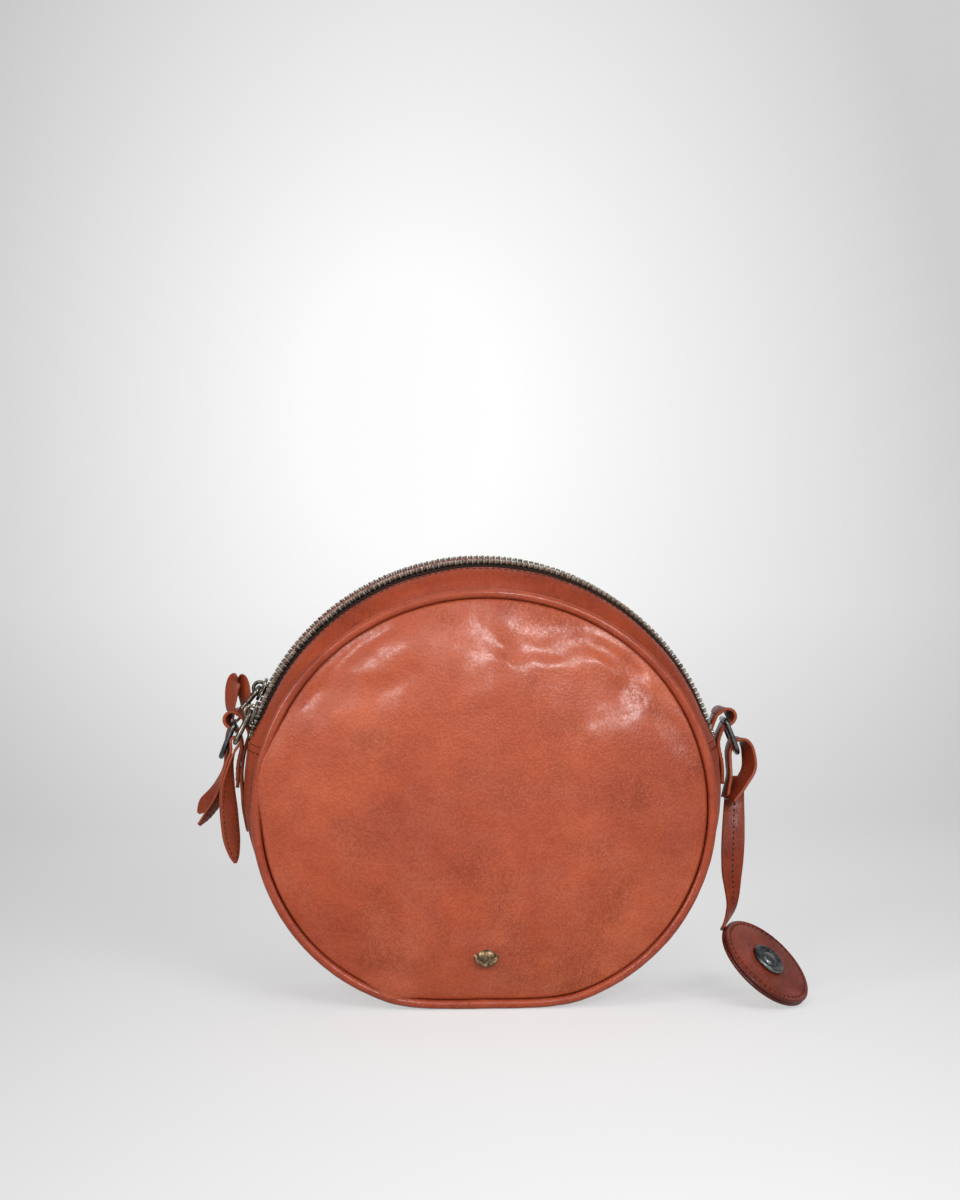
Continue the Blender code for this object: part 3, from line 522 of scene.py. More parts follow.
TEETH_METAL = metal("zip_teeth_metal", (0.82, 0.76, 0.64), (0.16, 0.12, 0.08), 0.22, 0.5)
SLIDER_METAL = metal("slider_metal", (0.33, 0.30, 0.25), (0.045, 0.037, 0.029), 0.20, 0.42)
RING_METAL = metal("blackened_metal", (0.17, 0.18, 0.18), (0.035, 0.037, 0.04), 0.28, 0.45, 180.0)
STUD_METAL = metal("stud_brass", (0.25, 0.17, 0.095), (0.05, 0.032, 0.02), 0.32, 0.5, 500.0)

# %% Thread and cloth materials
twill, given, result = new_group(
    "twill_weave", [("Place", VECTOR, None), ("Threads", FLOAT, 2200.0)], ["Height", "Gap"]
)
place, threads = given["Place"], given["Threads"]
sources = {"Vector": place, "Angle": math.radians(58)}
slant = add(twill, "ShaderNodeVectorRotate", sources, rotation_type="Z_AXIS").outputs[0]
sources = {"Vector": slant, "Scale": threads, "Distortion": 0.6}
ribs = add(twill, "ShaderNodeTexWave", sources, wave_type="BANDS", bands_direction="X").outputs["Fac"]
sources = {"Vector": place, "Scale": threads}
picks = add(twill, "ShaderNodeTexWave", sources, wave_type="BANDS", bands_direction="Y").outputs["Fac"]
both = maths(twill, "MULTIPLY", ribs, spread(twill, picks, 0.0, 1.0, 0.55, 1.0))
put(twill, {"Height": both, "Gap": spread(twill, both, 0.1, 0.5, 1.0, 0.0)}, result)


def cloth(name, colour, gap_colour, threads, roughness=0.85, coordinates="Object"):
    made, tree, shader, where = new_material(name, coordinates)
    weave = add(tree, "ShaderNodeGroup", {"Place": where, "Threads": threads}, node_tree=twill).outputs
    put(tree, {
        "Base Color": mixed(tree, weave["Gap"], (*colour, 1), (*gap_colour, 1)),
        "Roughness": spread(tree, weave["Gap"], 0.0, 1.0, roughness - 0.05, roughness + 0.1),
        "Specular IOR Level": 0.15,
    }, shader)
    bumped(tree, shader, weave["Height"], 0.5, 0.0002)
    return made


TAPE_CLOTH = cloth("zip_tape_cloth", (0.036, 0.018, 0.013), (0.010, 0.005, 0.004), 260.0, 0.90, "UV")
LINING_CLOTH = cloth("lining_cloth", (0.34, 0.27, 0.20), (0.20, 0.15, 0.11), 300.0)
FELT = cloth("padding_felt", (0.55, 0.52, 0.47), (0.42, 0.40, 0.36), 180.0, 0.9)
THREAD = cloth("thread", (0.12, 0.020, 0.010), (0.06, 0.010, 0.006), 900.0, 0.6)
DARK_THREAD = cloth("dark_thread", (0.045, 0.010, 0.006), (0.020, 0.005, 0.003), 900.0, 0.7)
print("materials:", len(bpy.data.materials))

# %% [markdown]
# ## The soft front and rear panels
# Each panel is one disc of leather over a thin pad. It domes outwards, and its edge turns in hard against
# the piping. A filled disc without a pole is wanted, because a pole shows up as a star in gloss. So a
# square grid is pressed into a circle, each point is lifted to the dome, and then soft dents and creases
# are pushed in where handling has left them.

# %% Panel surface


def panel_edge(angle):
    return (WELT_TOP - WELT + 0.0003) * welt_radius(angle) / WELT_TOP


def dent_place(x, z, at_x, at_z, length, width, turn):
    """Where a point lies in a dent: its share of the length along it, and of the width across it."""
    c, s = math.cos(math.radians(turn)), math.sin(math.radians(turn))
    dx, dz = x - at_x, z - at_z
    return (dx * c + dz * s) / length, (dz * c - dx * s) / width


def dent(x, z, *row):
    """A long soft hollow, or a ridge where the depth is below zero."""
    along, across = dent_place(x, z, *row[:-1])
    return row[-1] * math.exp(-(along**2) - across**2)


def sharp_fold(x, z, *row):
    """A step in the leather: it rises slowly on one side and falls quickly on the other."""
    along, across = dent_place(x, z, *row[:-1])
    return row[-1] * math.exp(-(along**2)) * across * math.exp(-across * across) * 2


# Each row is a place (x, z), a length, a width, a turn and a depth. A depth below zero stands proud.
FRONT_DENTS = (
    (0.006, 0.1700, 0.014, 0.0060, -30, 0.0010),
    (0.027, 0.1655, 0.015, 0.0055, -10, 0.0009),
    (0.046, 0.1650, 0.012, 0.0055, -26, 0.0009),
    (0.062, 0.1560, 0.010, 0.0060, -46, 0.0009),
    (0.058, 0.1450, 0.014, 0.0100, -14, 0.0022),
    (0.056, 0.1240, 0.020, 0.0120, -6, -0.0008),
    (0.043, 0.1320, 0.005, 0.0150, 6, 0.0007),
    (0.088, 0.1300, 0.012, 0.0060, -66, 0.0009),
    (0.003, 0.1590, 0.009, 0.0070, 70, 0.0008),
    (0.004, 0.1400, 0.016, 0.0070, 80, 0.0005),
    (-0.046, 0.1510, 0.014, 0.0070, 24, 0.0012),
    (-0.072, 0.1440, 0.011, 0.0085, 30, 0.0019),
    (-0.052, 0.1700, 0.024, 0.0050, 40, 0.0010),
    (-0.040, 0.1630, 0.022, 0.0060, 42, -0.0006),
    (-0.083, 0.1180, 0.016, 0.0090, 72, 0.0008),
    (-0.060, 0.0480, 0.030, 0.0150, -40, 0.0006),
    (0.070, 0.0500, 0.030, 0.0140, 40, 0.0007),
    (0.000, 0.0310, 0.014, 0.0060, 4, -0.0005),
    (-0.020, 0.0700, 0.040, 0.0200, 80, 0.0005),
    (0.030, 0.0900, 0.040, 0.0220, 100, 0.0005),
)
FRONT_FOLDS = (
    (0.009, 0.1655, 0.009, 0.0030, -36, 0.0006),
    (0.028, 0.1594, 0.008, 0.0034, -6, 0.0005),
    (0.052, 0.1585, 0.007, 0.0040, -18, 0.0005),
)
REAR_DENTS = (
    (-0.050, 0.1500, 0.024, 0.0080, 40, 0.0010),
    (0.058, 0.1460, 0.018, 0.0090, -40, 0.0011),
    (0.004, 0.1620, 0.026, 0.0070, 4, 0.0009),
    (0.074, 0.0900, 0.026, 0.0120, 84, 0.0007),
    (-0.072, 0.0700, 0.024, 0.0110, 68, 0.0008),
    (0.010, 0.0420, 0.034, 0.0110, -6, 0.0008),
)


def panel_relief(x, z, seed, dents, folds):
    place = Vector((x, seed, z))
    broad = noise.noise(place * 24) * 0.0008 + noise.noise(place * 62) * 0.00030
    fine = noise.noise(place * 150) * 0.00009 + noise.noise(place * 320) * 0.00003
    upper = 0.35 + 0.75 * ease((z - 0.09) / 0.07)
    x += 0.0050 * noise.noise(place * 48) + 0.0014 * noise.noise(place * 170)
    z += 0.0050 * noise.noise(place * 48 + Vector((7, 0, 3)))
    z += 0.0014 * noise.noise(place * 170 + Vector((2, 0, 9)))
    pressed = sum(dent(x, z, *d) for d in dents) + sum(sharp_fold(x, z, *f) for f in folds)
    return broad * upper + fine - pressed


def panel_cover(angle, side):
    """Where the soft front panel has rolled out over the piping, from 0 to 1."""
    if side > 0:
        return 0.0
    turned = angle % 360
    return max(ease(1 - abs(turned - 171) / 17), ease(1 - abs(turned - 243) / 9))


def disc_point(u, v):
    """A square's point pressed into the unit circle: its share of the radius, and its angle."""
    x, z = u * math.sqrt(1 - v * v / 2), v * math.sqrt(1 - u * u / 2)
    return math.hypot(x, z), math.degrees(math.atan2(z, x))


def soft_panel(name, side, bulge, seed, dents, folds, cells=96):
    rows = []
    for i in range(cells + 1):
        row = []
        for k in range(cells + 1):
            share, angle = disc_point(2 * i / cells - 1, 2 * k / cells - 1)
            share = min(share, 1.0)
            edge, cover = panel_edge(angle), panel_cover(angle, side)
            radius = share * (edge + cover * WELT)
            lift = bulge * (1 - min(radius / edge, 1) ** 3.2)
            lift += cover * (WELT + 0.0004) * ease((share - 0.86) / 0.12)
            point = polar(angle, radius, 0)
            lift += ease((1 - share) / 0.07) * panel_relief(point.x, point.z, seed, dents, folds)
            point.y = side * (WELT_Y + lift)
            row.append(point)
        rows.append(row)
    return grid_object(name, rows)


def mark_dark(obj, function):
    """Stores a share from 0 to 1 at each point, which the material reads to mix in its third colour: painted
    shade in creases and gaps, a darker rim on the fob's disc, and the straps' pale cut edges.
    """
    layer = obj.data.attributes.get("dark") or obj.data.attributes.new("dark", "FLOAT", "POINT")
    layer.data.foreach_set("value", [min(max(function(v.co), 0), 1) for v in obj.data.vertices])
    return obj


def finish_piece(obj, material, body, slot, *nodes):
    """Gives a finished piece its material, its CAD body and the CAD nodes that it stands for."""
    obj.data.materials.clear()
    obj.data.materials.append(material)
    if not obj.data.attributes.get("dark"):
        obj.data.attributes.new("dark", "FLOAT", "POINT")
    obj.data.shade_smooth()
    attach(obj, body)
    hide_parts(*nodes)
    print(obj.name, len(obj.data.polygons), "faces")
    return obj


def panel_crease_shade(point):
    """Painted shade where the leather turns in against the piping: stronger towards the bottom, and none
    where the panel has rolled out over the piping.
    """
    angle = angle_of(point)
    share = from_hub(point) / panel_edge(angle)
    below = 0.30 + 0.60 * ease((HUB.z + 0.02 - point.z) / 0.07)
    open_crease = 1 - panel_cover(angle, 1 if point.y > 0 else -1)
    return 0.95 * ease((share - 0.986) / 0.012) * below * open_crease


for name, side, bulge, seed, dents, folds in (
    ("front", -1, FRONT_BULGE, 3.7, FRONT_DENTS, FRONT_FOLDS),
    ("rear", 1, REAR_BULGE, 8.2, REAR_DENTS, ()),
):
    panel = cleaned(soft_panel(f"{name}_panel_leather", side, bulge, seed, dents, folds), away_from=HUB)
    panel = mark_dark(leather_sheet(panel, LEATHER), panel_crease_shade)
    finish_piece(panel, PANEL_LEATHER, "bag", "leather", f"{name}_panel")

# %% [markdown]
# ## The piping
# A cord wrapped in a strip of the same hide closes the seam between panel and rim. It isn't a perfect
# tube: the wrap swells and pinches between the stitches that hold it. Rows of points round the cord, with
# a little noise on their distance from its middle, show that.

# %% Piping


def welt_crease_shade(point):
    """Painted shade on the inner side, in the crease towards the panel."""
    outer = from_hub(point) - welt_radius(angle_of(point))
    return 0.6 * ease((-outer / WELT - 0.7) / 0.3)


for name, side in SIDES:
    rows = []
    for angle in range(360):
        centre = polar(angle, welt_radius(angle), side * WELT_Y)
        outward = (centre - Vector((0, centre.y, HUB.z))).normalized()
        reach = WELT * (1 + 0.05 * noise.noise(centre * 70) + 0.04 * noise.noise(centre * 260))
        row = []
        for degrees in range(0, 360, 20):
            turn = math.radians(degrees)
            row.append(centre + outward * math.cos(turn) * reach + Vector((0, math.sin(turn) * reach, 0)))
        rows.append(row)
    cord = mark_dark(cleaned(grid_object(f"{name}_piping_leather", rows, True, True)), welt_crease_shade)
    finish_piece(cord, PIPING_LEATHER, "bag", "piping_leather", f"{name}_piping")
print("cord radius", round(WELT * 1000, 2), "mm")

# %% [markdown]
# ## Zip bands, centre band and lower gusset
# The rim is four strips of leather. Next to each zip the leather is folded under, so its edge is round
# and thick, and a row of stitches sinks a shallow groove beside it. Each strip is lofted between the
# outline's angles, with the fold and the groove in its cross-section.

# %% Rim strips
STITCH_INSET = 0.0030
GROOVE_WIDTH, GROOVE_DEPTH = 0.0006, 0.00045
EDGE_ROUND, EDGE_DROP = 0.0009, 0.0010
FOLD_WIDTH, FOLD_THICK = 0.003, 0.0005
SEAM_GAP = 0.15  # degrees between the bands' ends and the gusset's
FOLD_STEPS = (0, 0.0003, 0.0008, 0.0015, 0.0022, 0.0026, 0.0030, 0.0034, 0.0040, 0.0050)


def rim_profile(low, high, folded_low, folded_high, step):
    """Distances across a strip, closer together where an edge is folded and stitched."""
    left = [low + d for d in FOLD_STEPS] if folded_low else [low]
    right = [high - d for d in reversed(FOLD_STEPS)] if folded_high else [high]
    count = max(round((right[0] - left[-1]) / step), 2)
    middle = [left[-1] + (right[0] - left[-1]) * k / count for k in range(1, count)]
    return left + middle + right


def groove(distance, width=GROOVE_WIDTH):
    """1 on the line of the stitches, falling away at both sides."""
    return math.exp(-(((distance - STITCH_INSET) / width) ** 2))


def fold_lift(distance):
    """The extra height of a folded edge: round at the edge, with a groove where it is stitched."""
    edge = -EDGE_DROP * (1 - ease(distance / EDGE_ROUND))
    thick = FOLD_THICK * (1 - ease((distance - FOLD_WIDTH) / FOLD_WIDTH))
    return edge + thick - GROOVE_DEPTH * groove(distance)


def rim_surface(angle, y):
    """The leather's distance from the hub, with its slight unevenness."""
    radius = rim_radius(angle, y)
    place = polar(angle, radius, y)
    return radius + 0.0005 * noise.noise(place * 34) + 0.00022 * noise.noise(place * 95)


def rim_leather(name, start, end, low, high, folded_low, folded_high, step=0.75, across=0.0016, end_lift=0.0):
    def row_at(angle):
        row = []
        for y in rim_profile(low, high, folded_low, folded_high, across):
            radius = rim_surface(angle, y)
            if folded_low:
                radius += fold_lift(y - low)
            if folded_high:
                radius += fold_lift(high - y)
            if end_lift:
                near = min(angle - start, end - angle) * math.radians(CROWN)
                radius += end_lift * (1 - ease(near / 0.006)) - 0.0004 * groove(near)
            row.append(polar(angle, radius, y))
        return row

    sheet = cleaned(grid_object(name, along_arc(start, end, step, row_at)), away_from=HUB)
    return leather_sheet(sheet, LEATHER, edge=0.00035)


def band_groove_shade(point):
    """Painted shade along the lines of the bands' folded edges by the zip, and in their stitch grooves."""
    distance = min(abs(abs(point.y) - SLOT_OUTER), abs(abs(point.y) - SLOT_INNER))
    stitched = groove(distance, 0.0005) * zip_opening(angle_of(point))
    return 0.6 * (1 - ease(distance / 0.0008)) + 0.5 * stitched


for name, low, high, folds in (
    ("front_zip_band", -RIM_HALF, -SLOT_OUTER, (False, True)),
    ("rear_zip_band", SLOT_OUTER, RIM_HALF, (True, False)),
    ("centre_band", -SLOT_INNER, SLOT_INNER, (True, True)),
):
    band = rim_leather(f"{name}_leather", ZIP_START, ZIP_END, low, high, *folds)
    finish_piece(mark_dark(band, band_groove_shade), RIM_LEATHER, "bag", "leather", name)
gusset = rim_leather(
    "lower_gusset_leather", ZIP_END + SEAM_GAP, 360 + ZIP_START - SEAM_GAP, -RIM_HALF, RIM_HALF,
    False, False,
    step=1.05, across=0.0021, end_lift=0.0007,
)
finish_piece(mark_dark(gusset, band_groove_shade), RIM_LEATHER, "bag", "leather", "lower_gusset")

# %% [markdown]
# ## Rows along a path
# Stitches and zip teeth are the same small thing many times along a curve. Geometry Nodes suit that: a
# path is cut into even steps, one small part is placed on each, and it is turned so that its X runs
# along the path and its Z points away from the hub. The result is made a plain mesh at the end.

# %% A node tree that repeats a part along a path


def row_tree():
    tree = bpy.data.node_groups.new("row_along_path", "GeometryNodeTree")
    for label, kind in (
        ("Geometry", "Geometry"), ("Part", "Object"), ("Spacing", "Float"), ("Hub", "Vector"),
        ("Finish", "Material"),
    ):
        tree.interface.new_socket(label, in_out="INPUT", socket_type=f"NodeSocket{kind}")
    tree.interface.new_socket("Geometry", in_out="OUTPUT", socket_type="NodeSocketGeometry")
    given, result = add(tree, "NodeGroupInput").outputs, add(tree, "NodeGroupOutput")
    curve = add(tree, "GeometryNodeMeshToCurve", {"Mesh": given["Geometry"]}).outputs["Curve"]
    sources = {"Curve": curve, "Length": given["Spacing"]}
    steps = add(tree, "GeometryNodeResampleCurve", sources, mode="LENGTH").outputs["Curve"]
    spot = add(tree, "GeometryNodeInputPosition").outputs[0]
    outward = add(tree, "ShaderNodeVectorMath", {0: spot, 1: given["Hub"]}, operation="SUBTRACT").outputs[0]
    level = add(tree, "ShaderNodeVectorMath", {0: outward, 1: (1, 0, 1)}, operation="MULTIPLY").outputs[0]
    up = add(tree, "FunctionNodeAlignEulerToVector", {"Vector": level}, axis="Z").outputs[0]
    sources = {"Rotation": up, "Vector": add(tree, "GeometryNodeInputTangent").outputs[0]}
    ahead = add(tree, "FunctionNodeAlignEulerToVector", sources, axis="X", pivot_axis="Z").outputs[0]
    part = add(tree, "GeometryNodeObjectInfo", {"Object": given["Part"]}).outputs["Geometry"]
    sources = {"Points": steps, "Instance": part, "Rotation": ahead}
    copies = add(tree, "GeometryNodeInstanceOnPoints", sources).outputs[0]
    real = add(tree, "GeometryNodeRealizeInstances", {"Geometry": copies}).outputs[0]
    sources = {"Geometry": real, "Material": given["Finish"]}
    put(tree, {"Geometry": add(tree, "GeometryNodeSetMaterial", sources).outputs[0]}, result)
    return tree


ROW_TREE = row_tree()
ROW_SOCKETS = {i.name: i.identifier for i in ROW_TREE.interface.items_tree if i.in_out == "INPUT"}
print("inputs of the row tree:", sorted(ROW_SOCKETS))


def repeated(name, paths, part, spacing, material):
    """Repeats a small part along each path of points, as one plain mesh."""
    mesh = bpy.data.meshes.new(name)
    points, edges = [], []
    for path in paths:
        edges += [(len(points) + i, len(points) + i + 1) for i in range(len(path) - 1)]
        points += [tuple(p) for p in path]
    mesh.from_pydata(points, edges, [])
    host = placed(name, mesh)
    rows = host.modifiers.new("row", "NODES")
    rows.node_group = ROW_TREE
    for label, value in (("Part", part), ("Spacing", spacing), ("Hub", HUB), ("Finish", material)):
        rows[ROW_SOCKETS[label]] = value
    return made_real(host)


def ringed_part(name, rings):
    """A template of joined rings of points, closed at both ends. It is repeated and then removed."""
    shape = bmesh.new()
    rings = [[shape.verts.new(p) for p in ring] for ring in rings]
    for a, b in zip(rings, rings[1:]):
        for j in range(len(a)):
            k = (j + 1) % len(a)
            shape.faces.new((a[j], a[k], b[k], b[j]))
    shape.faces.new(rings[0])
    shape.faces.new(rings[-1])
    bmesh.ops.recalc_face_normals(shape, faces=shape.faces)
    made = mesh_object(name, shape)
    made.hide_render = True
    return made


def thread_stitch(length, radius):
    """One stitch: a short round thread that dives into the leather at both ends."""
    rings = []
    for share, wide in ((-1, 0.45), (-0.6, 0.9), (0, 1), (0.6, 0.9), (1, 0.45)):
        drop = 0.9 * radius * abs(share) ** 3
        rings.append([(share * length / 2, y, z - drop) for y, z in bend(0, 0, radius * wide, 0, 300, 5)])
    return ringed_part("stitch_template", rings)


STITCH = thread_stitch(0.0020, 0.00042)
FINE_STITCH = thread_stitch(0.0017, 0.00024)
KNOT = thread_stitch(0.0012, 0.00034)
STITCH_STEP, FINE_STEP, KNOT_STEP = 0.0029, 0.0024, 0.0027

# %% [markdown]
# ## Topstitching
# Each folded edge is sewn down with one row of thick thread. Its colour is that of the leather, a shade
# darker, so it reads as a fine broken line. The path is the strip's own surface at the stitch distance.

# %% Stitches on the rim


def stitch_row(name, paths, body, spacing=STITCH_STEP, stitch=STITCH, thread=THREAD):
    made = repeated(name, paths, stitch, spacing, thread)
    return finish_piece(made, thread, body, "strap_leather")


SINK = 0.00015
rim_rows = []
sewn = (-SLOT_OUTER - STITCH_INSET, -SLOT_INNER + STITCH_INSET)
for y in (*sewn, -sewn[1], -sewn[0]):
    path = along_arc(ZIP_START + 2, ZIP_END - 2, 0.5, lambda a: polar(a, rim_surface(a, y) + SINK, y))
    rim_rows.append(path)
end_gap = math.degrees(STITCH_INSET / CROWN) + SEAM_GAP
for angle in (ZIP_END + end_gap, 360 + ZIP_START - end_gap):
    across = [-RIM_HALF + 0.003 + (2 * RIM_HALF - 0.006) * k / 40 for k in range(41)]
    rim_rows.append([polar(angle, rim_radius(angle, y) + 0.0002, y) for y in across])
stitch_row("rim_stitches", rim_rows, "bag")

# %% [markdown]
# ## Zip tapes and teeth
# Between the bands lie the two zips. A zip's tape is dark twill, and its metal teeth are clamped over a
# cord at the tape's edge. Each tooth is a small bar with a rounded nose. The front and rear halves are
# offset by half a step, so they read as one chain.

# %% Tapes
TAPE = 0.0007
TOOTH_STEP = 0.0026
CHAIN_GAP = 0.0007
CHAIN_HALF = 0.0030
TAPE_REACH = 0.0102


def tape_row(angle, zip_y, side):
    """A tape's points across it at one angle, from under the band to the teeth."""
    fall = 0.0015 + (BAND_DROP if side * zip_y > 0 else 0) * zip_opening(angle)
    row = []
    for share in (0, 0.15, 0.3, 0.45, 0.6, 0.72, 0.82, 0.92, 1):
        reach = TAPE_REACH + (CHAIN_HALF + 0.0002 - TAPE_REACH) * share
        low = 0.0009 + (fall - 0.0007) * ease((0.97 - share) / 0.42)
        wave = 0.00018 * noise.noise(polar(angle, CROWN, zip_y + side * reach) * 150)
        row.append(polar(angle, CROWN - low + wave, zip_y + side * reach))
    return row


for zip_name, zip_y in ZIPS:
    for half, side in SIDES:
        name = f"{zip_name}_{half}_tape"
        rows = along_arc(ZIP_START, ZIP_END, 0.75, lambda a: tape_row(a, zip_y, side))
        tape = cleaned(grid_object(f"{name}_cloth", rows), away_from=HUB)
        finish_piece(leather_sheet(tape, TAPE), TAPE_CLOTH, "bag", "zip_tape", name)

# %% Teeth
TEETH_START, TEETH_END = ZIP_START + 2.4, ZIP_END - 2.4


def tooth(side):
    """A bar that clamps the cord and reaches to the chain's middle, with a raised crown and soft corners."""
    inner, outer = CHAIN_GAP / 2, CHAIN_HALF
    rings = []
    for y, wide, tall in (
        (outer, 0.55, 0.75), (outer - 0.0006, 0.80, 1.0), (inner + 0.0009, 0.80, 1.0), (inner, 0.62, 0.80),
    ):
        half, top = 0.00072 * wide, 0.0013 * tall
        narrow, high = half - half * 0.45, top - half * 0.45
        ring = ((-half, -top), (half, -top), (half, high), (narrow, top), (-narrow, top), (-half, high))
        rings.append([(x, side * y, z) for x, z in ring])
    return ringed_part("tooth_template", rings)


half_step = math.degrees(TOOTH_STEP / 2 / CROWN)
for (half, side), shift in zip(SIDES, (0.0, half_step)):
    part = tooth(side)
    for zip_name, zip_y in ZIPS:
        name = f"{zip_name}_{half}_teeth"
        start, end = TEETH_START + shift, TEETH_END - half_step + shift
        path = along_arc(start, end, 0.25, lambda a: polar(a, CROWN, zip_y))
        row = repeated(f"{name}_row", [path], part, TOOTH_STEP, TEETH_METAL)
        finish_piece(row, TEETH_METAL, "bag", "zip_teeth", name)
        row.data.shade_flat()
        # Painted shade between the teeth: full below the chain's middle, fading out towards their tops.
        mark_dark(row, lambda p: 1 - ease((from_hub(p) - CROWN) / 0.0012))
    bpy.data.objects.remove(part, do_unlink=True)

# %% [markdown]
# ## Stops and sliders
# A stop is a small clamp at each end of a chain. A slider is two plates joined by a post, with an arched
# lug on top that the pull's wire loop hangs from. Both are built flat, at the origin, and then carried
# round the arc to their angle, because a shape is easier to get right when it isn't tilted.

# %% Carrying a flat shape to the arc


def arc_frame(angle, y):
    """A matrix whose Z points away from the hub and whose X runs along the rim, on the zip's arc."""
    turn = Matrix.Rotation(math.radians(90 - angle), 4, "Y")
    return Matrix.Translation((HUB.x, y, HUB.z)) @ turn @ Matrix.Translation((0, 0, CROWN))


def plate(name, outline, low, high, bevel, place, segments=3):
    """A plate cut to an outline of (x, y) points, with rounded edges, carried to its place."""
    shape = bmesh.new()
    face = shape.faces.new([shape.verts.new((x, y, low)) for x, y in outline])
    grown = bmesh.ops.extrude_face_region(shape, geom=[face])
    for item in grown["geom"]:
        if isinstance(item, bmesh.types.BMVert):
            item.co.z = high
    bmesh.ops.recalc_face_normals(shape, faces=shape.faces)
    made = mesh_object(name, shape)
    soft_edges(made, bevel, segments, 40)
    made.matrix_world = place
    return made_real(made)


def joined(name, parts):
    """Several finished meshes as one piece."""
    shape = bmesh.new()
    for part in parts:
        shape.from_mesh(part.data)
        bpy.data.objects.remove(part, do_unlink=True)
    return mesh_object(name, shape)


for zip_name, zip_y in ZIPS:
    for end in ("left", "right"):
        name = f"{zip_name}_{end}_stop"
        low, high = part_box(name)
        place = arc_frame(angle_of((low + high) / 2), zip_y)
        stop = plate(f"{name}_clamp", rounded_box(0.0012, 0.0029, 0.0007), -0.0012, 0.0013, 0.0004, place)
        finish_piece(stop, SLIDER_METAL, "bag", "zip_teeth", name)

# %% Sliders
SLIDER_LOW, SLIDER_TOP = 0.0017, 0.0031
SLIDER_HALF, LUG_HALF, LUG_WIRE, LIP_WIRE = 0.0055, 0.003, 0.0009, 0.00042
SLIDER_UNDER, UNDER_THICK = -0.00184, 0.0011


def slider_shape(name, place):
    """Two shield-shaped plates, a post, side lips and the arched lug."""
    nose, tail = SLIDER_HALF, -SLIDER_HALF
    shield = [(tail, 0.0026), (tail + 0.0016, 0.0040), (0.0, 0.0044), (nose - 0.0022, 0.0044)]
    shield += [(nose - 0.0005, 0.0036), (nose, 0.0022), (nose - 0.0004, 0.0)]
    outline = shield + [(x, -y) for x, y in reversed(shield[:-1])]
    post = rounded_box(0.0025, 0.0003, 0.00025)
    parts = [
        plate("top", outline, SLIDER_LOW, SLIDER_TOP, 0.0004, place),
        plate("under", outline, SLIDER_UNDER - UNDER_THICK, SLIDER_UNDER, 0.0004, place),
        plate("post", post, SLIDER_UNDER - 0.0004, SLIDER_LOW + 0.0004, 0.00005, place, 1),
    ]
    for side in (-1, 1):
        points = []
        for x in (-0.0034, -0.0017, 0, 0.0017, 0.0034):
            y = side * (0.0042 + 0.0002 * math.cos(x * 400))
            points.append(place @ Vector((x, y, SLIDER_LOW + 0.0001)))
        parts.append(tube_object("lip", points, LIP_WIRE, sides=3))
    foot, shoulder = SLIDER_TOP - 0.0006, SLIDER_TOP + 0.0004
    arch = [(-LUG_HALF, foot), (-LUG_HALF, shoulder), *bend(0, shoulder, LUG_HALF, 180, -180, 12)]
    arch += [(LUG_HALF, shoulder), (LUG_HALF, foot)]
    parts.append(tube_object("lug", [place @ Vector((x, 0, z)) for x, z in arch], LUG_WIRE, sides=5))
    return joined(name, parts)


SLIDER_ANGLES = {"front": 158.5, "rear": 154.0}
for half, side in SIDES:
    made = slider_shape(f"{half}_slider_body", arc_frame(SLIDER_ANGLES[half], side * ZIP_Y))
    finish_piece(made, SLIDER_METAL, f"{half}_slider", "zip_hardware", f"{half}_slider")
    made.data.set_sharp_from_angle(angle=math.radians(40))

# %% [markdown]
# ## Wire loops
# The bails and the D-rings are bent wire. A closed path of points is bevelled into a round wire, with
# enough points in each bend that its highlight runs smoothly.

# %% Bails and D-rings


def loop_corners(length, half, corner):
    """A rounded rectangle's middle line in (along, across), its bar at 0."""
    points = []
    far = length - corner
    for x, side, first in ((corner, 1, 90), (corner, -1, 180), (far, -1, 270), (far, 1, 0)):
        points += bend(x, side * (half - corner), corner, first, 90, 8)
    return points


BAIL_FALL = {"front": 63, "rear": 50}
BAIL_LENGTH, BAIL_HALF, BAIL_WIRE = 0.0155, 0.00375, 0.00120
for half in ("front", "rear"):
    pivot = Vector(joints[f"{half}_bail_swing"]["pos_m"])
    fall = math.radians(BAIL_FALL[half])
    down = Vector((-math.cos(fall), 0, -math.sin(fall)))
    outline = loop_corners(BAIL_LENGTH, BAIL_HALF, BAIL_HALF * 0.6)
    points = [pivot + down * u + Vector((0, v, 0)) for u, v in outline]
    made = tube_object(f"{half}_bail_loop", points, BAIL_WIRE, True, 5)
    finish_piece(made, SLIDER_METAL, f"{half}_bail", "zip_hardware", f"{half}_bail")

RING_TILT = math.radians(22)
RING_HALF, RING_WIRE, RING_DEPTH = 0.0081, 0.0012, 0.0165
for name, side in (("left", -1), ("right", 1)):
    pivot = Vector(joints[f"{name}_ring_swing"]["pos_m"])
    down = Vector((side * math.sin(RING_TILT), 0, -math.cos(RING_TILT)))
    foot = bend(RING_HALF - RING_WIRE, RING_WIRE, RING_WIRE, -90, 90, 6)
    outline = foot + bend(0, RING_DEPTH - RING_HALF, RING_HALF, 0, 180, 32)
    outline += [(-y, d) for y, d in reversed(foot)]
    points = [pivot + down * d + Vector((0, y, 0)) for y, d in outline]
    made = tube_object(f"{name}_ring_wire", points, RING_WIRE, True, 6)
    finish_piece(made, RING_METAL, f"{name}_ring", "gunmetal", f"{name}_ring")

# %% [markdown]
# ## Straps
# The pulls, the side tabs and the fob are narrow strips of thick hide with pale cut edges. A strip is a
# rounded cross-section that is carried along a path of middle points, each with its own direction across
# and its own width. That keeps its edges rounded, and lets it twist and curl.

# %% A strap along a path
CROWNED = 0.12
EDGE = 0.0008


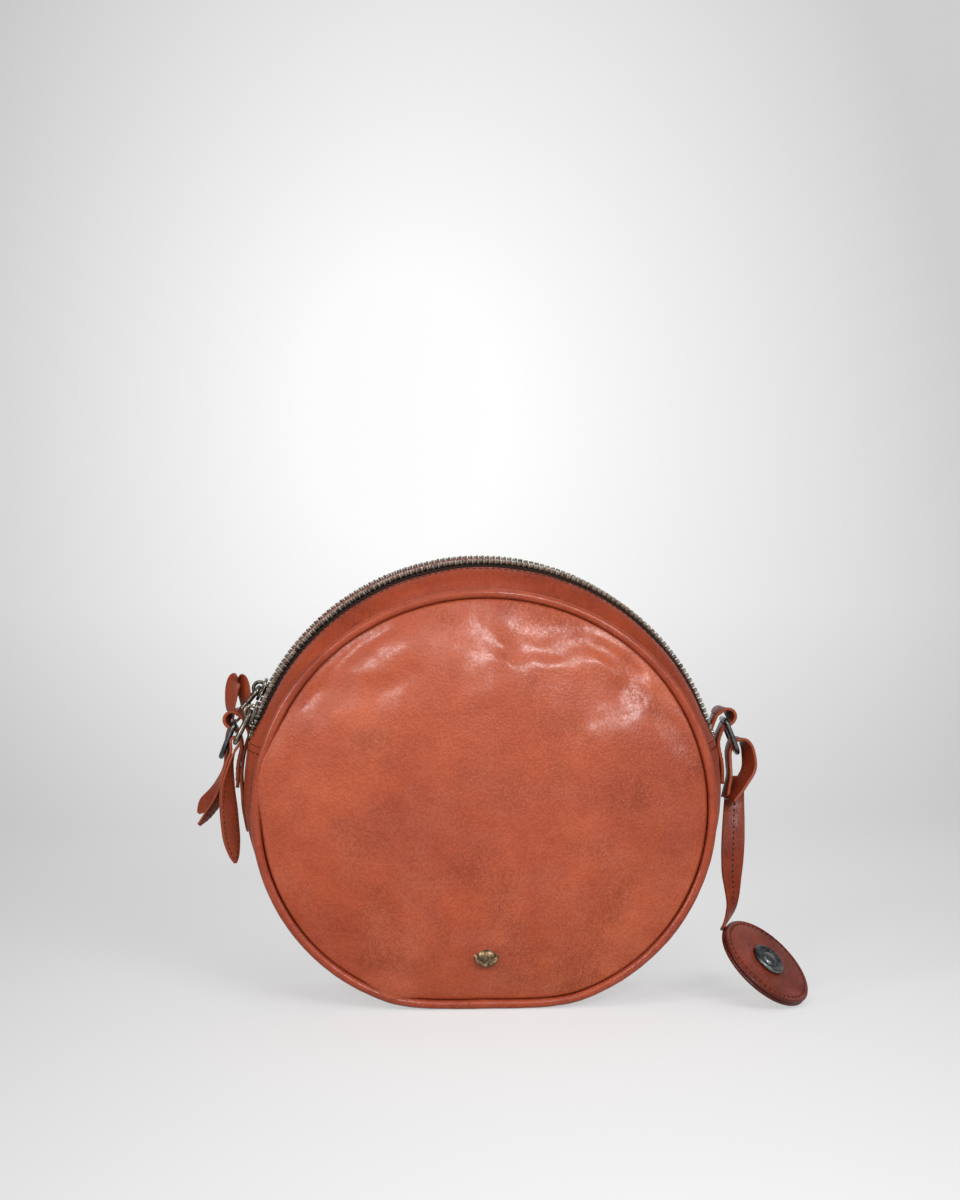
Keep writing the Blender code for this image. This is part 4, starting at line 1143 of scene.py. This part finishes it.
def level_at(degrees):
    """The level direction that is turned from +Y by an angle."""
    turn = math.radians(degrees)
    return Vector((-math.sin(turn), math.cos(turn), 0))


def strap_frames(spots):
    """Each spot's middle, its directions along and across the strap, and its width."""
    last = len(spots) - 1
    for i, (middle, across, width) in enumerate(spots):
        along = (spots[min(i + 1, last)][0] - spots[max(i - 1, 0)][0]).normalized()
        yield middle, along, (across - along * across.dot(along)).normalized(), width


def strap(name, spots, thickness, wave):
    """A strip through spots of (middle point, direction across, width), with closed ends."""
    rows = []
    for middle, along, side, width in strap_frames(spots):
        up = along.cross(side)
        half, thick = width / 2, thickness / 2
        ripple = wave * noise.noise(middle * 120)
        row = []
        for x, z in rounded_box(half, thick, min(thick * 0.85, half * 0.9), 3):
            swell = CROWNED * thick * (1 - (x / half) ** 2) * (1 if z > 0 else -1)
            row.append(middle + side * x + up * (z + swell + ripple))
        rows.append(row)
    return cleaned(grid_object(name, rows, close_columns=True), fill=True)


def edge_shade(spots):
    """A function that says how near a point is to a strap's two cut edges."""

    def shade(point):
        middle, across, width = min(spots, key=lambda s: (s[0] - point).length_squared)
        return 0.6 * ease((abs((point - middle).dot(across.normalized())) - width / 2 + EDGE) / EDGE)

    return shade


def strap_piece(name, spots, thickness, body, *nodes, wave=0.0003):
    """A strap with its cut edges marked, as a finished piece."""
    made = mark_dark(strap(name, spots, thickness, wave), edge_shade(spots))
    return finish_piece(made, STRAP_LEATHER, body, "strap_leather", *nodes)


def edge_path(spots, inset, lift, side):
    """A path beside one edge of a strap, for its stitches."""
    path = []
    for middle, along, out, width in strap_frames(spots):
        path.append(middle + out * side * (width / 2 - inset) + along.cross(out) * lift)
    return path

# %% [markdown]
# ## Pull tabs
# Each pull is one strip that is folded over its wire loop, so two layers hang side by side. The front
# one turns its flat side round as it hangs, and ends in a point. The rear one is stiffer: it curls
# outwards, and its second layer is shorter and stands off.

# %% Pull tabs
PULL_LAYER, PULL_WIDTH, PULL_NECK = 0.00105, 0.0084, 0.0054
PULL_FOLD = 0.0021
PULLS = {
    "front": (0.056, -0.0038, 1.0, (
        (0.30, 0.07, 0, 0.75), (0.75, 0.18, 15, 0.83), (1.00, 0.36, 50, 0.90), (0.85, 0.57, 70, 1.00),
        (0.55, 0.79, 75, 0.95), (0.25, 0.93, 78, 0.60), (0.10, 1.00, 80, 0.18),
    )),
    "rear": (0.052, -0.019, 0.84, (
        (0.09, 0.07, 0, 0.75), (0.24, 0.19, 6, 0.83), (0.30, 0.46, 18, 0.94), (0.47, 0.73, 28, 1.00),
        (0.74, 0.89, 32, 0.88), (1.00, 1.00, 34, 0.30),
    )),
}
LOOSE_FROM, LOOSE_OVER, LOOSE_TURN = 0.45, 0.4, 50
LOOSE_SHIFT = Vector((-0.0034, 0.001, 0))
TIP_ROWS = 8


def pull_line(half, length, drift, shares):
    """The middle of a pull: its points, directions across, directions outwards and widths."""
    end = Vector(joints[f"{half}_pull_swing"]["pos_m"])
    rows = [(dx * drift, -dz * length, turn, w * PULL_WIDTH) for dx, dz, turn, w in shares]
    spots = smooth_values(rows, 48)
    line = []
    for k, (dx, dz, turn, width) in enumerate(spots):
        before, after = spots[max(k - 1, 0)], spots[min(k + 1, len(spots) - 1)]
        along = Vector((after[0] - before[0], 0, after[1] - before[1])).normalized()
        level, turn = Vector((0, 1, 0)), math.radians(turn)
        across = level * math.cos(turn) + along.cross(level) * math.sin(turn)
        line.append((end + Vector((dx, 0, dz)), across, along.cross(across), width))
    return line


def loosened(layer):
    """A short layer that stands off lower down, turns to the front and ends in a rounded tip."""
    count, loose_layer = len(layer), []
    for k, (middle, across, width) in enumerate(layer):
        loose = ease((k / count - LOOSE_FROM) / LOOSE_OVER)
        width *= 1 + 0.1 * loose
        if k >= count - TIP_ROWS:
            width *= max(1 - ((k - count + TIP_ROWS + 1) / (TIP_ROWS + 1)) ** 2.2, 0.25)
        middle = middle + LOOSE_SHIFT * loose
        loose_layer.append((middle, level_at(LOOSE_TURN * loose), width))
    return loose_layer


for half, (length, drift, tail, shares) in PULLS.items():
    line = pull_line(half, length, drift, shares)
    offset = PULL_LAYER / 2 + 0.00015
    long_side = [(m + n * offset, a, w) for m, a, n, w in line]
    short_side = [(m - n * offset, a, w) for m, a, n, w in line[: int(len(line) * tail)]]
    if tail < 1:
        short_side = loosened(short_side)
    outward = (long_side[0][0] - short_side[0][0]).normalized()
    first = math.atan2(outward.z, outward.x)
    lead = (line[0][0] - line[1][0]).normalized()
    sweep = math.pi if Vector((-outward.z, 0, outward.x)).dot(lead) > 0 else -math.pi
    end = Vector(joints[f"{half}_pull_swing"]["pos_m"])
    fold = []
    for k in range(15):
        t = first + sweep * k / 14
        fold.append((end + Vector((math.cos(t), 0, math.sin(t))) * PULL_FOLD, level_at(0), PULL_NECK))
    whole = list(reversed(long_side)) + fold + short_side
    strap_piece(f"{half}_pull_leather", whole, PULL_LAYER, f"{half}_pull", f"{half}_pull_tab")
    rows = [edge_path(long_side[6:-6], 0.0013, 0.00050, e) for e in (-1, 1)]
    stitch_row(f"{half}_pull_stitches", rows, f"{half}_pull", FINE_STEP, FINE_STITCH)

# %% [markdown]
# The rear pull is stiff, so above its wire loop it stands up in a loose second fold. The fold stays with
# the wire loop while the strips below it swing, so it rides on the bail. Its face is turned to the front.

# %% The rear pull's upper fold
EAR_WIDE, EAR_TALL, EAR_TURN = 0.0036, 0.0165, 58
end = Vector(joints["rear_pull_swing"]["pos_m"])
ear = []
for k in range(41):
    t = math.pi * k / 40
    arch = math.sin(t) ** 0.3 if 0 < k < 40 else 0.0
    out = Vector((-math.cos(t) * EAR_WIDE, 0, math.sin(t) * EAR_TALL))
    ear.append((end + out, level_at(EAR_TURN * arch), PULL_NECK + 0.0030 * arch))
strap_piece("rear_pull_fold", ear, PULL_LAYER, "rear_bail")

# %% [markdown]
# ## Side tabs
# A tab is sewn to the gusset's top, rolls over the bar of its D-ring and returns on top of itself. Its
# lower end comes to a blunt point, and it is stitched through both layers.

# %% Side tabs
TAB_WIDTH, TAB_LEATHER, ROLL_RADIUS = 0.013, 0.0016, 0.0039
ROLL = polar(17.9, CROWN + 0.00876, 0)
for name, side in (("left", -1), ("right", 1)):
    first, second = 0.0003 + TAB_LEATHER / 2, 0.0006 + TAB_LEATHER * 1.5
    lower = ((-8, 0.25), (-6, 0.7), (-1, 1), (4, 1), (9, 1), (13, 1), (16, 1))
    stations = [(polar(a, rim_radius(a, 0) + first, 0), w, 0) for a, w in lower]
    for k in range(25):
        t = math.radians(170 - 265 * k / 24)
        roll = ROLL + Vector((math.cos(t), 0, math.sin(t))) * ROLL_RADIUS
        stations.append((roll, 1, 18 * math.sin(math.pi * min(k / 20, 1))))
    stations += [(polar(a, rim_radius(a, 0) + second, 0), 1, 0) for a in (13, 8, 3)]
    rows = smooth_values([(*place, w, turn) for place, w, turn in stations], 150)
    spots = [(Vector((side * x, y, z)), level_at(side * turn), TAB_WIDTH * w) for x, y, z, w, turn in rows]
    strap_piece(f"{name}_tab_leather", spots, TAB_LEATHER, "bag", f"{name}_side_tab")
    paths = [edge_path(spots[-24:-2], 0.0018, side * 0.0009, e) for e in (-1, 1)]
    stitch_row(f"{name}_tab_stitches", paths, "bag", FINE_STEP, FINE_STITCH)

# %% [markdown]
# ## The fob
# A charm hangs from the right ring: a broad loop of leather folded through the ring, a narrow strap that
# turns its face round as it hangs, and a disc of two layers sewn together. A plain round concho sits on
# the disc.

# %% Fob loop and strap
pivot = Vector(joints["fob_swing"]["pos_m"])
REACH, LEAN, DROP = 0.0056, 0.006, 0.0215
FOB_LEATHER_THICK, LOOP_WIDTH, FOB_STRAP_WIDTH = 0.0016, 0.010, 0.0112
LOOP_SHARES = (
    (-0.78, -1.00, 0.98, 27), (0.26, -0.67, 0.63, 30), (0.98, -0.31, 0.26, 32), (0.94, 0.03, 0.04, 28),
    (0.60, 0.24, 0.0, 22), (0.08, 0.30, 0.0, 14), (-0.42, 0.25, 0.0, 8), (-0.70, 0.03, 0.04, 4),
    (-0.74, -0.25, 0.26, 2), (-0.76, -0.50, 0.50, 2), (-1.10, -0.92, 0.92, 6),
)
rows = smooth_values([(dx * REACH, -lean * LEAN, dz * DROP, turn) for dx, dz, lean, turn in LOOP_SHARES], 110)
spots = [(pivot + Vector((x, y, z)), level_at(turn), LOOP_WIDTH) for x, y, z, turn in rows]
strap_piece("fob_loop_leather", spots, FOB_LEATHER_THICK, "fob_strap", "fob_loop", wave=0.0004)
normal = Vector((0.57, -0.39, 0.72)).normalized()
along = Vector((0.73, 0.0, -0.68))
along = (along - normal * along.dot(normal)).normalized()
DISC, DISC_LEATHER = 0.0245, 0.0018
height = 0.0004 + DISC * math.sqrt(1 - normal.z**2) + (DISC_LEATHER + 0.00015) * normal.z
disc_place = Matrix((along, normal.cross(along), normal)).transposed().to_4x4()
disc_place.translation = (0.1295, -0.030, height)
disc_top = disc_place @ Vector((-DISC - 0.0006, 0, 0))
STRAP_SHARES = (
    (-0.05, -0.12, 0.00, 90, 0.72), (-0.12, -0.10, 0.16, 88, 0.85), (-0.38, 0.14, 0.43, 80, 1.00),
    (-0.69, 0.42, 0.64, 65, 0.94), (-0.96, 0.75, 0.84, 40, 0.66),
)
top = pivot.z - 0.0115
fall = top - disc_top.z
rows = [
    (pivot.x + dx * REACH, dy * disc_top.y, top - dz * fall, turn, w * FOB_STRAP_WIDTH)
    for dx, dy, dz, turn, w in STRAP_SHARES
]
rows.append((disc_top.x, disc_top.y, disc_top.z + 0.0003, 5, 0.005))
spots = [(Vector((x, y, z)), level_at(-turn), width) for x, y, z, turn, width in smooth_values(rows, 70)]
strap_piece("fob_strap_leather", spots, FOB_LEATHER_THICK, "fob_strap", "fob_strap")
middle = [(m, a, 0.0001) for m, a, w in spots[8:-14]]
sides = [edge_path(middle, 0, lift, 1) for lift in (-0.00086, 0.00086)]
stitch_row("fob_strap_stitches", sides, "fob_strap", KNOT_STEP, KNOT, DARK_THREAD)

# %% Fob disc and concho
DISC_GAP, DISC_GROOVE = 0.00015, DISC - 0.0026


def lathed(name, profile, place, steps=96):
    """A profile of (radius, height) turned about local Z, from the middle of the top to the middle below."""
    rows = []
    for k in range(steps):
        t = math.tau * k / steps
        rows.append([Vector((r * math.cos(t), r * math.sin(t), z)) for r, z in profile])
    made = grid_object(name, rows, close_rows=True)
    made.data.transform(place)
    return cleaned(made, 2e-6)


def disc_profile(face, back, groove):
    """A leather disc's half section: round edges, and a sunk line where the stitches run."""
    thick = face - back
    shallow, deep = face - 0.0001 * groove, face - 0.0004 * groove
    top = [(0, face), (0.008, face), (0.014, face), (DISC - 0.0034, face), (DISC - 0.0030, shallow)]
    top += [(DISC_GROOVE, deep), (DISC - 0.0022, shallow), (DISC - 0.0012, face)]
    top += [(DISC - 0.0004, face - thick * 0.2), (DISC, face - thick * 0.5)]
    return top + [(DISC - 0.0003, back), (0.012, back), (0, back)]


def rim_shade(point):
    """Darker towards a disc's rim, over its outer 1.6 millimetres."""
    return 0.8 * ease(((disc_place.inverted() @ point).xy.length - DISC + 0.0016) / 0.0016)


for name, side in (("front", 1), ("back", -1)):
    profile = disc_profile(side * (DISC_GAP + DISC_LEATHER), side * DISC_GAP, side)
    made = mark_dark(lathed(f"fob_disc_{name}_leather", profile, disc_place), rim_shade)
    finish_piece(made, FOB_LEATHER, "fob_disc", "strap_leather", f"fob_disc_{name}")
circle = [disc_place @ Vector((x, y, DISC_LEATHER - 0.0001)) for x, y in bend(0, 0, DISC_GROOVE, 0, 360, 96)]
stitch_row("fob_disc_stitches", [circle], "fob_disc")
base = DISC_GAP + DISC_LEATHER + 0.0002
CONCHO = (
    (0, 1), (0.12, 0.99), (0.25, 0.93), (0.38, 0.76), (0.46, 0.55), (0.50, 0.36), (0.56, 0.30), (0.64, 0.31),
    (0.70, 0.38), (0.76, 0.58), (0.82, 0.68), (0.89, 0.66), (0.95, 0.52), (1, 0.28), (1, 0), (0, 0),
)
concho = lathed("fob_concho", [(r * 0.0085, base + z * 0.0026) for r, z in CONCHO], disc_place, 72)
finish_piece(concho, RING_METAL, "fob_disc", "gunmetal", "fob_ornament")

# %% [markdown]
# ## The round stud
# Low on the front sits a small brass stud with a domed cap and a rolled rim. It is turned about its own
# axis, and placed by the measured stud in the frame: its middle, and the way its flat base faces.

# %% Stud
stud_mesh = frame["nodes"]["front_stud"].data
tip = min((v.co for v in stud_mesh.vertices), key=lambda p: p.y)
tail = max((v.co for v in stud_mesh.vertices), key=lambda p: p.y)
axis = tip - tail
axis.x = 0
axis.normalize()
spine = [v.co for v in stud_mesh.vertices if abs(v.co.x) < 1e-5]
dome_top = max(spine, key=lambda p: p.dot(axis))
stud_place = axis.to_track_quat("Z", "Y").to_matrix().to_4x4()
stud_place.translation = dome_top
STUD = (
    (0, 0), (0.0012, -0.00008), (0.0024, -0.0004), (0.0034, -0.0009), (0.0041, -0.0015), (0.0044, -0.0020),
    (0.0047, -0.0021), (0.0051, -0.0017), (0.0055, -0.0017), (0.0058, -0.0021), (0.0058, -0.0026),
    (0.0054, -0.0028), (0.0016, -0.0028), (0.0016, -0.0056), (0, -0.0056),
)
stud = lathed("front_stud_cap", STUD, stud_place, 64)
finish_piece(stud, STUD_METAL, "bag", "stud", "front_stud")
washer = frame["nodes"]["front_stud_washer"]
washer.data.materials.clear()
washer.data.materials.append(STUD_METAL)
print("stud axis", [round(v, 3) for v in axis])

# %% [markdown]
# ## Linings, divider and padding
# Inside, each compartment has a cloth bag, a leatherboard wall stands between the two, and thin felt pads
# stiffen the panels. None of it shows while the zips are shut, but it is there, so each part gets its
# own mesh: the measured solid is merged, divided finer, made a little uneven and covered in its cloth.

# %% Inner parts


def softened(node, material, slot, strength):
    copy = placed(f"{node}_cloth", frame["nodes"][node].data.copy())
    cleaned(copy, 1e-5, turn=False)
    rounds = copy.modifiers.new("rounding", "SUBSURF")
    rounds.subdivision_type = "SIMPLE"
    rounds.levels = rounds.render_levels = 1
    made = made_real(copy)
    for vertex in made.data.vertices:
        vertex.co.y += strength * noise.noise(vertex.co * 45)
    return finish_piece(made, material, "bag", slot, node)


for node, material, slot, strength in (
    ("front_lining", LINING_CLOTH, "lining", 0.0003),
    ("rear_lining", LINING_CLOTH, "lining", 0.0003),
    ("divider", LINING_CLOTH, "lining", 0.0),
    ("front_padding", FELT, "padding", 0.0),
    ("rear_padding", FELT, "padding", 0.0),
):
    made = softened(node, material, slot, strength)
for template in (STITCH, FINE_STITCH, KNOT):
    bpy.data.objects.remove(template, do_unlink=True)

# %% [markdown]
# ## Floor, light and camera
# The bag stands on a pale sweep with a painted pool of light: brightest where the sweep curves up behind
# the bag, falling off outwards, darker on the floor and brighter to the right. The sweep also glows with
# that painted light for camera, glossy and transmission rays, which lifts the shadows on it. A wide soft
# lamp high in front gives the long highlights on the leather, smaller ones at both sides, above and behind
# fill in, and the pale world lights the rest. The camera looks from slightly above and slightly to the
# left, from far enough away that the circle keeps its shape.

# %% Stage
BLACK, WHITE = (0, 0, 0, 1), (1, 1, 1, 1)
PAPER_SHADE, PAPER_GLOW = 0.44, 0.71
profile = [(-5.0, 0.0), *bend(0.55, 0.5, 0.5, -90, 90, 15), (1.05, 2.4)]
sweep = grid_object("sweep", [[(x, y, z) for y, z in profile] for x in (2.5, -2.5)])
sweep.data.shade_smooth()
paper, tree, shader, where = new_material("pale_paper")
# Painted light on the sweep: a pool brightest where it curves up behind the bag, falling off outwards, darker
# on the floor and brighter to the right.
sources = {"Vector": where, "Location": (0, 0, -0.20), "Scale": (1.0, 0.0, 0.75)}
centred = add(tree, "ShaderNodeMapping", sources, vector_type="POINT").outputs[0]
away = add(tree, "ShaderNodeVectorMath", {0: centred}, operation="LENGTH").outputs["Value"]
spot = add(tree, "ShaderNodeSeparateXYZ", {0: where}).outputs
painted_light = spread(tree, away, 0.08, 0.45, 0.94, 0.56)
painted_light = maths(tree, "MULTIPLY", painted_light, spread(tree, spot["Z"], 0.0, 0.12, 0.90, 1.0))
painted_light = maths(tree, "MULTIPLY", painted_light, spread(tree, spot["X"], -0.35, 0.35, 0.92, 1.08))
# The sweep glows with this painted light for camera, glossy and transmission rays, which lifts the shadows on
# it.
ray = add(tree, "ShaderNodeLightPath").outputs
seen = maths(tree, "MAXIMUM", ray["Is Camera Ray"], ray["Is Glossy Ray"])
seen = maths(tree, "MAXIMUM", seen, ray["Is Transmission Ray"])
put(tree, {
    "Base Color": mixed(tree, maths(tree, "MULTIPLY", painted_light, PAPER_SHADE), BLACK, WHITE),
    "Emission Color": mixed(tree, painted_light, BLACK, WHITE),
    "Emission Strength": maths(tree, "MULTIPLY", seen, PAPER_GLOW),
    "Roughness": 0.9,
}, shader)
sweep.data.materials.append(paper)

# %% Lights
for name, place, aim, size, power in (
    ("front_window", (0.45, -1.3, 0.78), (0, 0, 0.1), (0.7, 0.30), 12),
    ("high_front", (-0.1, -0.7, 1.5), (0, 0, 0.1), (1.0, 0.7), 3),
    ("left_front", (-0.55, -1.25, 0.74), (0, 0, 0.1), (0.25, 0.25), 4),
    ("left_window", (-1.2, -0.8, 0.6), (0, 0, 0.1), (0.35, 0.5), 7),
    ("right_window", (1.2, -0.9, 0.55), (0, 0, 0.1), (0.5, 0.5), 3),
    ("top_back", (0.0, 0.6, 1.4), (0, 0.1, 0.1), (1.4, 0.6), 2),
):
    light = bpy.data.lights.new(name, "AREA")
    light.shape = "RECTANGLE"
    light.size, light.size_y = size
    light.energy = power
    lamp = placed(name, light)
    lamp.location = place
    lamp.rotation_euler = (Vector(aim) - Vector(place)).to_track_quat("-Z", "Y").to_euler()
world = bpy.data.worlds.new("pale_room")
bpy.context.scene.world = world
world.use_nodes = True
sky = world.node_tree.nodes["Background"]
sky.inputs["Color"].default_value = (1, 1, 1, 1)
sky.inputs["Strength"].default_value = 0.22

# %% Camera
camera = bpy.data.cameras.new("camera")
camera.sensor_fit = "VERTICAL"
camera.sensor_height = 36
camera.lens = 90.5
view = placed("camera", camera)
bpy.context.scene.camera = view
TARGET = Vector((-0.0002, 0.0, 0.1849))
azimuth, elevation, distance = math.radians(-3.5), math.radians(4.0), 1.40
level = math.cos(elevation)
away = Vector((math.sin(azimuth) * level, -math.cos(azimuth) * level, math.sin(elevation)))
view.location = TARGET + away * distance
view.rotation_euler = (-away).to_track_quat("-Z", "Y").to_euler()
print("camera at", [round(v, 3) for v in view.location])

# %% View transform
bpy.context.scene.view_settings.view_transform = "Standard"
